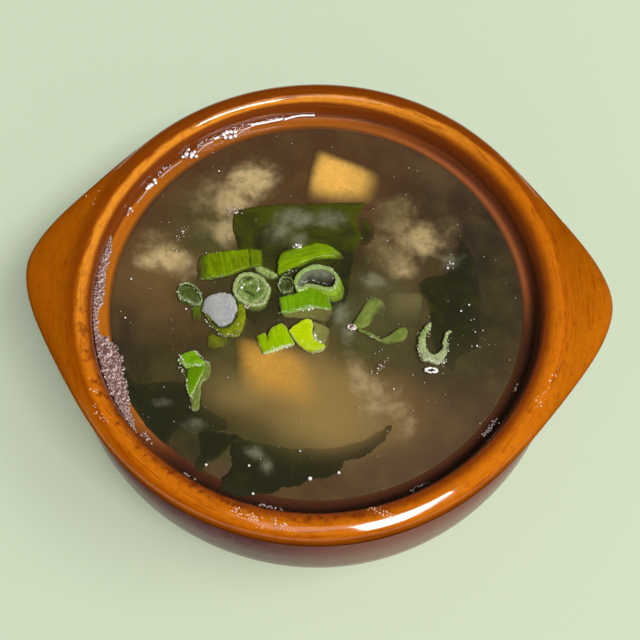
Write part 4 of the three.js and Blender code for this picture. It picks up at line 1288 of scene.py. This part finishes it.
def make_foam():
    """All the bubbles as one piece. Froth and loose bubbles keep apart, and the rest touch."""
    luck = np.random.default_rng(5)
    slices = slices_skin()

    def stands(x, y):
        found = slices.ray_cast(Vector((x, y, CREST_Z)), Vector((0, 0, -1)))[0]
        return max(found.z if found else 0, surface(x, y))

    azimuths, reaches = zip(*froth_drift)

    def froth():
        azimuth = luck.uniform(azimuths[0], azimuths[-1])
        inwards = luck.uniform(0, 1) * np.interp(azimuth, azimuths, reaches)
        radius = MOUTH_R - 0.1 - inwards
        turn = math.radians(azimuth)
        return radius * math.cos(turn), radius * math.sin(turn), 0.14 + 0.6 * luck.uniform() ** 2.3

    def loose():
        turn, radius = luck.uniform(0, 2 * math.pi), 55 * math.sqrt(luck.uniform())
        return radius * math.cos(turn), radius * math.sin(turn), 0.09 + 0.09 * luck.uniform()

    bubbles = spread(2200, froth, big_bubbles)
    for azimuth, radius, along, across, count in bubble_rows:
        for _ in range(count):
            turn = math.radians(azimuth) + luck.normal() * along / radius / 2
            out = min(radius + luck.normal() * across / 2, MOUTH_R - 0.1)
            bubbles.append((out * math.cos(turn), out * math.sin(turn), 0.1 + 0.24 * luck.uniform() ** 2))
    bubbles = spread(110, loose, bubbles)
    # the last number of each spot is how much painted glint turns it white
    spots = [(x, y, surface(x, y), radius, 0, 0) for x, y, radius in bubbles]
    spots += [(x, y, surface(x, y), radius, 0, 0.7) for x, y, radius in single_bubbles]
    spots += [(x, y, surface(x, y), radius * 1.15, 0, 1) for x, y, radius in glint_beads]
    for line, radius in glint_lines:
        for x, y in smooth_line(line, radius * 0.7):
            size = radius * luck.uniform(0.75, 1.1)
            spots.append((x, y, surface(x, y), size, 0, 1 if radius > 0.2 else 0.3))
    for line in edge_beads:
        for x, y in strewn(luck, *line, 0.2):
            spots.append((x, y, stands(x, y), 0.1 + 0.15 * luck.uniform() ** 2, 1, 0))
    spots += [(x, y, stands(x, y), radius, 1, 1) for x, y, radius in wet_glints]
    for x, y, half_x, half_y, count in bubble_rings:
        for turn in luck.uniform(0, 2 * math.pi, count):
            out = luck.uniform(0.8, 1.15)
            here = x + half_x * math.cos(turn) * out, y + half_y * math.sin(turn) * out, SOUP_Z + 0.05
            spots.append((*here, 0.16 + 0.12 * luck.uniform(), 1, 0.8))
    large, small = ([s for s in spots if (s[3] > LARGE) == wanted] for wanted in (True, False))
    points, faces, marks = dome_mesh(large, 18, 8)
    more_points, more_faces, more_marks = dome_mesh(small, 9, 4)
    faces += [tuple(i + len(points) for i in face) for face in more_faces]
    points = np.concatenate([points, more_points])
    marks = {name: np.concatenate([values, more_marks[name]]) for name, values in marks.items()}
    make_piece("foam_bubbles", points, faces, foam_finish(), "broth", **marks)


def scum_finish():
    material, wire = new_finish("froth_scum")
    place = wire.place()
    fine = place.grain(1.6, 4, 0.6)
    tone = fine.between(0.3, 0.7).blend(colour(98, 60, 46), colour(158, 116, 102))
    return show(material, wire.glossy({
        "Base Color": tone,
        "Roughness": fine * 0.2 + 0.2,
        "Normal": fine.relief(0.15),
    }))


def make_scum():
    """The wet skin of broken bubbles that the froth stands on."""
    azimuths, reaches = np.array(froth_drift).T
    turns = np.radians(azimuths)
    outer = np.column_stack([np.cos(turns), np.sin(turns)]) * (MOUTH_R - 0.1)
    inner = np.column_stack([np.cos(turns), np.sin(turns)]) * (MOUTH_R - 0.1 - reaches * 0.9)[:, None]
    outline = ragged_outline([tuple(p) for p in [*outer, *inner[::-1]]], 0.3)

    def height(places):
        return surface(*places.T) + 0.03

    points, faces, _ = sheet_mesh(outline, 0.5, 0.06, height)
    make_piece("froth_scum", points, faces, scum_finish(), "broth")


make_foam()
make_scum()

# ---- Splashes on the rim
# Fine droplets of soup, flicked onto the glaze when it was ladled in. They stand on the rolled rim
# where they landed.
splashes = [
    # two ends of a line, how far the drops stray from it, how many
    (-16.7, -58.6, -9.9, -61.8, 1.0, 70), (-7, -61, -2.4, -63.2, 0.8, 44),
    (14.8, -56.6, 21.9, -59.5, 0.8, 70), (54.6, -31, 61.2, -18.9, 0.8, 26),
    (-55.5, -24.7, -51.5, -36.8, 0.8, 12), (-51.5, -36.8, -48.3, -39.2, 0.4, 18),
    (-62.4, 30, -60.4, 22, 1.2, 6),
]


def splash_finish():
    material, wire = new_finish("splash")
    # painted reflection: the clear drops painted pale gold, and white where the painted glint falls
    drop_shine = wire.place().grain(1.4, 2).between(0.35, 0.65)
    drop_shine = drop_shine.blend(colour(214, 132, 62), colour(240, 190, 142))
    wet = wire.mark("wet").between(0.0, 0.7)
    return show(material, wire.glossy({
        "Base Color": wet.blend(drop_shine, colour(255, 250, 240)),
        "Roughness": wet * 0.1 + 0.1,
        "Coat Weight": 1.0,
    }))


def make_splashes():
    luck = np.random.default_rng(9)
    spots = []
    for *ends, stray, count in splashes:
        for x, y in strewn(luck, *ends, count, stray / 1.5):
            landed = bowl_skin.ray_cast(Vector((x, y, CREST_Z + 5)), Vector((0, 0, -1)))[0]
            if landed and landed.z > SOUP_Z + 2:
                spots.append((x, y, landed.z - 0.03, 0.1 + 0.16 * luck.uniform() ** 2, 0, 0))
    points, faces, marks = dome_mesh(spots, 10, 5)
    make_piece("rim_splashes", points, faces, splash_finish(), "broth", wet=marks["wet"])


make_splashes()

# ---- Studio
# A plain pale green table top, a soft lamp high on the right, one on the near right whose glint the
# glaze shows, a faint one overhead, and a camera that looks down over the near rim.
TABLE = 1400
LAMP_AWAY = 2.2


def table_finish():
    material, wire = new_finish("table")
    tone = wire.place().grain(0.01, 2).blend(colour(208, 221, 193), colour(210, 223, 195))
    return show(material, wire.glossy({"Base Color": tone, "Roughness": 0.9, "Specular IOR Level": 0.1}))


def make_table():
    corners = [(x * TABLE, y * TABLE, -0.02) for x, y in ((-1, -1), (1, -1), (1, 1), (-1, 1))]
    mesh = bpy.data.meshes.new("table")
    mesh.from_pydata((np.array(corners) * MM).tolist(), [], [(0, 1, 2, 3)])
    mesh.materials.append(table_finish())
    table = bpy.data.objects.new("table", mesh)
    bpy.context.scene.collection.objects.link(table)


def add_light(name, towards, size, power):
    """A soft lamp in that direction from the soup, of that width and height, in metres and watts."""
    lamp = bpy.data.lights.new(name, "AREA")
    lamp.shape = "RECTANGLE"
    lamp.size, lamp.size_y = size
    lamp.energy = power
    light = bpy.data.objects.new(name, lamp)
    light.location = Vector(towards).normalized() * LAMP_AWAY
    light.rotation_mode = "QUATERNION"
    light.rotation_quaternion = light.location.to_track_quat("Z", "Y")
    bpy.context.scene.collection.objects.link(light)
    return light


def make_camera():
    turn, rise, distance = math.radians(2.82), math.radians(63.3), 260
    roll = math.radians(0.495)
    aim = Vector((1.36, -9.61, CREST_Z)) * MM
    back = Vector((math.sin(turn) * math.cos(rise), -math.cos(turn) * math.cos(rise), math.sin(rise)))
    camera = bpy.data.cameras.new("camera")
    camera.sensor_width = 36
    camera.lens = 57.08
    viewer = bpy.data.objects.new("camera", camera)
    viewer.location = Vector((0, 0, CREST_Z * MM)) + back * distance * MM
    viewer.rotation_mode = "QUATERNION"
    aimed = (aim - viewer.location).to_track_quat("-Z", "Y")
    viewer.rotation_quaternion = aimed @ Quaternion((0, 0, 1), roll)
    bpy.context.scene.collection.objects.link(viewer)
    bpy.context.scene.camera = viewer


make_table()
key = add_light("key", (0.58, -0.06, 0.81), (0.9, 0.9), 12)
key.visible_glossy = False
add_light("glint", (0.34, -0.4, 0.86), (0.8, 0.42), 23)
add_light("ceiling", (0.08, -0.3, 0.95), (1.3, 0.9), 6)


def make_world():
    """Light from all round the room, low down, with a dark ceiling over the bowl."""
    world = bpy.data.worlds.new("studio")
    world.use_nodes = True
    background = world.node_tree.nodes["Background"]
    wire = Wire(world.node_tree)
    up = wire.node("TexCoord", {}, {}).axes()[2]
    level = up.between(0.74, 0.34) * 1.22
    world.node_tree.links.new(level.socket, background.inputs["Strength"])
    background.inputs["Color"].default_value = (1.0, 1.0, 1.0, 1.0)
    world.cycles_visibility.glossy = False
    bpy.context.scene.world = world


make_world()
bpy.context.scene.view_settings.view_transform = "Standard"
make_camera()
